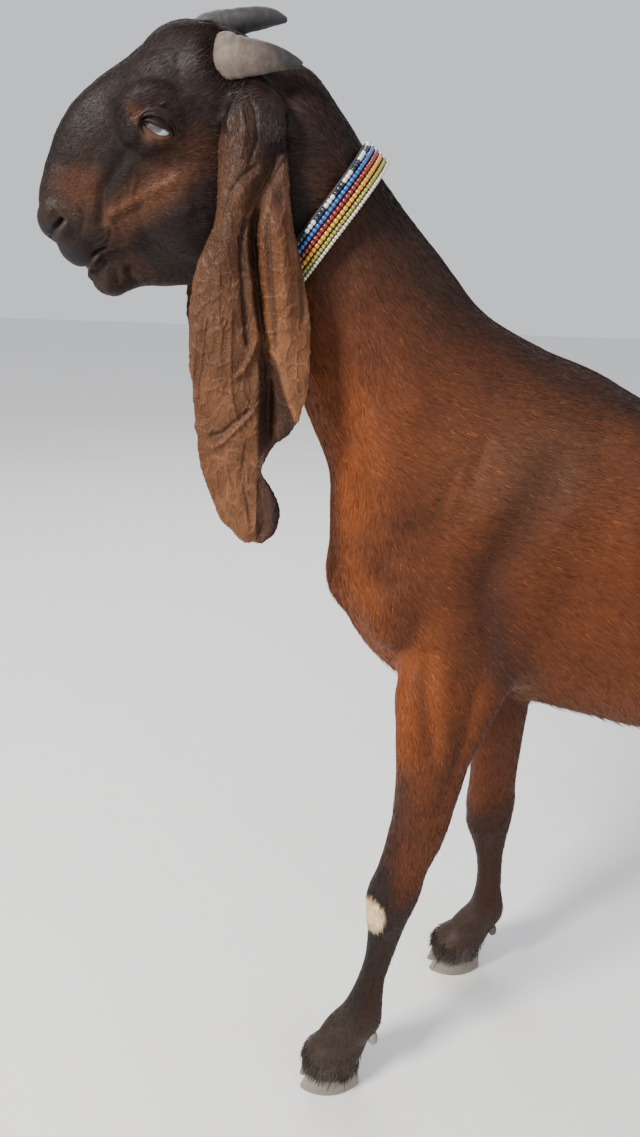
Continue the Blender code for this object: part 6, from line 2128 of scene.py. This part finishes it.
def colour_setting(label, told, default):
    return bpy.props.FloatVectorProperty(name=label, description=told, default=default, subtype="COLOR",
                                         size=3, min=0.0, max=1.0)


def count_setting(label, told, default, most):
    return bpy.props.IntProperty(name=label, description=told, default=default, min=1000, max=most)


def length_setting(label, told, default, most):
    return bpy.props.FloatProperty(name=label, description=told, default=default, min=0.0005, max=most,
                                   precision=4, unit="LENGTH")


class GoatSettings(bpy.types.PropertyGroup):
    """What the panel offers to set before the pieces are built."""
    body_tufts: count_setting("Body tufts", "Tufts of short hair on trunk, neck and legs", 185000, 260000)
    head_tufts: count_setting("Head tufts", "Tufts of short hair on the head", 42000, 90000)
    ear_tufts: count_setting("Ear tufts", "Tufts of short hair on the ears", 24000, 60000)
    body_hair: length_setting("Body hair", "Length of the short hair on the trunk", 0.0098, 0.03)
    head_hair: length_setting("Face hair", "Length of the hair on the face", 0.0038, 0.02)
    ear_hair: length_setting("Ear hair", "Length of the hair on the ears", 0.0036, 0.02)
    tail_hair: length_setting("Tail hair", "Length of the hair on the tail", 0.048, 0.12)
    chestnut: colour_setting("Chestnut", "Colour of the trunk and the neck", CHESTNUT)
    rust: colour_setting("Rust", "Colour of the lighter patches on the trunk", RUST)
    leg_dark: colour_setting("Dark points", "Colour of the dark parts of the coat", DARK)
    face: colour_setting("Face", "Colour of the face", FACE_BROWN)
    ear_tan: colour_setting("Ear", "Colour of the ears", EAR_TAN)
    horn: colour_setting("Horn", "Colour of the near horn's worn root", (0.104, 0.081, 0.066))
    hoof: colour_setting("Hoof", "Colour of the hooves", (0.250, 0.225, 0.180))
    eye_white: colour_setting("Eye", "Colour of the pale part of the eyes", (0.520, 0.580, 0.640))
    cloth: colour_setting("Collar band", "Colour of the collar's cloth", (0.030, 0.030, 0.034))
    light: bpy.props.FloatProperty(
        name="Light", description="Brightness of the studio lights", default=1.0, min=0.1, max=4.0,
        unit="NONE")


def chosen(name):
    """A size or a colour as it is set in the panel."""
    value = getattr(bpy.context.scene.goat_settings, name)
    return value if isinstance(value, (int, float)) else tuple(value)


class GOAT_OT_skin(bpy.types.Operator):
    """Builds the skin of the whole animal with its lids"""
    bl_idname = "goat.skin"
    bl_label = "Skin"

    def execute(self, context):
        head = head_skin()
        tree = BVHTree.FromPolygons([v.co for v in head.data.vertices],
                                    [p.vertices for p in head.data.polygons])
        put_points(head.data, eye_hollow(points_of(head.data)))
        body = body_skin()
        lids = mesh_from_arrays("lids", *joined([lid_form(side, tree) for label, side in SIDES]))
        outward(lids)
        lids_ob = new_object("lids", lids)
        look = marked_material("coat", 0.50, (420.0, 0.16), (260.0, 0.40, 0.0012), veined=True)
        for ob, region in ((head, "head"), (body, "body"), (lids_ob, "head")):
            points, normals = points_of(ob.data), normals_of(ob.data)
            colours = skin_colour(points, normals, region)
            if ob == head:
                drop = in_goat(np.array([head_point(*EAR_ROOT, -1)]))[0, 2] - in_goat(points)[:, 2]
                put_value(ob.data, "eared", on_ears(points) * smoothstep(drop, 0.000, 0.045))
                for label, side in SIDES:
                    reach = ear_reach(points, side)
                    mine = reach > 0.01
                    colours[mine] = (colours[mine] * (1 - reach[mine, None])
                                     + ear_colour(points[mine], side) * reach[mine, None])
            put_colour(ob.data, "marking", colours)
            put_skin_uv(ob.data, region)
            shade_smooth(ob.data)
            ob.data.materials.append(look)
        skin_mesh = joined_skins((head, body, lids_ob))
        skin_mesh.materials.append(look)
        skin = new_object("skin", skin_mesh)
        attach(skin, "root")
        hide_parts("head", "neck", "torso", "ear_left", "ear_right", "tail", *LEGS)
        for ob in (head, body, lids_ob):
            ob.hide_render = True
            ob.hide_viewport = True
        return {"FINISHED"}


class GOAT_OT_coat(bpy.types.Operator):
    """Builds the short hair of body, head and ears"""
    bl_idname = "goat.coat"
    bl_label = "Coat"

    def execute(self, context):
        settings = context.scene.goat_settings
        head, body = built("skin_head"), built("skin_body")
        look = marked_material("hair", 0.54, (500.0, 0.10))
        pieces = (("body", body, "body", settings.body_tufts, body_sizes, 5),
                  ("head", head, "head", settings.head_tufts, head_sizes, 1),
                  ("ears", head, "ears", settings.ear_tufts, ear_sizes, 1))
        for name, ob, region, count, sizes, shares in pieces:
            for k in range(shares):
                label = "coat_%s_%d" % (name, k)
                coat_over(label, ob, region, count // shares, sizes, look, 100 * len(name) + k)
        long_hair(body, "body", LONG_HAIR, look, 700)
        long_hair(head, "head", POLL_HAIR, look, 800)
        for name in ("skin_head", "skin_body", "lids"):
            bpy.data.objects.remove(built(name))
        return {"FINISHED"}


class GOAT_OT_eyes(bpy.types.Operator):
    """Builds the eyeballs"""
    bl_idname = "goat.eyes"
    bl_label = "Eyes"

    def execute(self, context):
        look = marked_material("eye", 0.12, (900.0, 0.05), coat=1.0)
        for label, side in SIDES:
            ob = finished("eyeball_" + label, [eyeball_form(side)], look, ["eye_" + label])
            put_colour(ob.data, "marking", eye_colours(points_of(ob.data), side))
        return {"FINISHED"}


class GOAT_OT_horns(bpy.types.Operator):
    """Builds the horns, hooves and dewclaws"""
    bl_idname = "goat.horns"
    bl_label = "Horns and hooves"

    def execute(self, context):
        look = marked_material("horn", 0.58, (170.0, 0.22), (420.0, 0.6, 0.0010), gloss=0.3)
        for piece, side, node, slot in (("horn_near_piece", -1, "horn_left", "horn"),
                                        ("horn_far_piece", 1, "horn_right", "dark_horn")):
            ob = finished(piece, [horn_form(side)], look, [node])
            put_colour(ob.data, "marking", horn_colours(points_of(ob.data), side))
        hoof = plain_material("hoof_horn", chosen("hoof"), 0.62, 0.0, (300.0, 0.5, 0.0010),
                              (0.110, 0.098, 0.080), 45.0)
        dark = plain_material("dewclaw_horn", (0.075, 0.062, 0.054), 0.60, 0.0, (300.0, 0.5, 0.0010),
                              (0.040, 0.032, 0.030), 60.0)
        for name in LEGS:
            nodes = [name + "_claw_a", name + "_claw_b"]
            claws = [claw_form(node, inner) for node, inner in zip(nodes, (-1, 1))]
            finished("hoof_" + name, claws, hoof, nodes)
            nodes = [name + "_dewclaw_a", name + "_dewclaw_b"]
            nubs = [dewclaw_form(node) for node in nodes]
            finished("dewclaws_" + name, nubs, hoof if name == "foreleg_left" else dark, nodes)
        return {"FINISHED"}


BEAD_COLOURS = {
    "beads_blue": (0.018, 0.095, 0.300),
    "beads_red": (0.210, 0.012, 0.010),
    "beads_yellow": (0.560, 0.250, 0.014),
    "beads_green": (0.280, 0.260, 0.045),
    "beads_white": (0.600, 0.560, 0.430),
    "white": (0.640, 0.640, 0.620),
    "black": (0.007, 0.012, 0.030),
}
CHECK_BLOCK = 3


class GOAT_OT_collar(bpy.types.Operator):
    """Builds the collar's band and its rows of beads"""
    bl_idname = "goat.collar"
    bl_label = "Collar"

    def execute(self, context):
        cloth = plain_material("cloth", chosen("cloth"), 0.85, 0.0, (900.0, 0.7, 0.0010))
        finished("collar_strap", [band_form()], cloth, ["collar_band"])
        looks = {key: plain_material("glass_" + key, colour, 0.16, 0.6)
                 for key, colour in BEAD_COLOURS.items()}
        for index, node in enumerate(BEAD_NODES):
            parts = bead_forms(node, 60 + index)
            if node == "beads_check":
                for key, odd in (("white", 0), ("black", 1)):
                    mine = [part for k, part in enumerate(parts) if (k // CHECK_BLOCK) % 2 == odd]
                    finished("row_check_" + key, mine, looks[key], [node])
            else:
                finished("row_" + node, parts, looks[node], [node])
        return {"FINISHED"}


class GOAT_OT_stage(bpy.types.Operator):
    """Sets the floor, the lights and the camera"""
    bl_idname = "goat.stage"
    bl_label = "Stage"

    def execute(self, context):
        build_stage(context.scene.goat_settings.light)
        return {"FINISHED"}


class GOAT_PT_panel(bpy.types.Panel):
    """The goat's panel in the sidebar"""
    bl_label = "Beetal goat"
    bl_idname = "GOAT_PT_panel"
    bl_space_type = "VIEW_3D"
    bl_region_type = "UI"
    bl_category = "Goat"

    def draw(self, context):
        layout = self.layout
        settings = context.scene.goat_settings
        for name in GoatSettings.__annotations__:
            layout.prop(settings, name)
        for step in STEPS:
            layout.operator(step.bl_idname)


STEPS = (GOAT_OT_skin, GOAT_OT_eyes, GOAT_OT_horns, GOAT_OT_collar, GOAT_OT_coat, GOAT_OT_stage)
CLASSES = (GoatSettings, *STEPS, GOAT_PT_panel)


def register():
    for cls in CLASSES:
        bpy.utils.register_class(cls)
    bpy.types.Scene.goat_settings = bpy.props.PointerProperty(type=GoatSettings)


def unregister():
    del bpy.types.Scene.goat_settings
    for cls in reversed(CLASSES):
        bpy.utils.unregister_class(cls)


def main():
    register()
    bpy.ops.goat.skin()
    bpy.ops.goat.eyes()
    bpy.ops.goat.horns()
    bpy.ops.goat.collar()
    bpy.ops.goat.coat()
    bpy.ops.goat.stage()


if __name__ == "__main__":
    main()
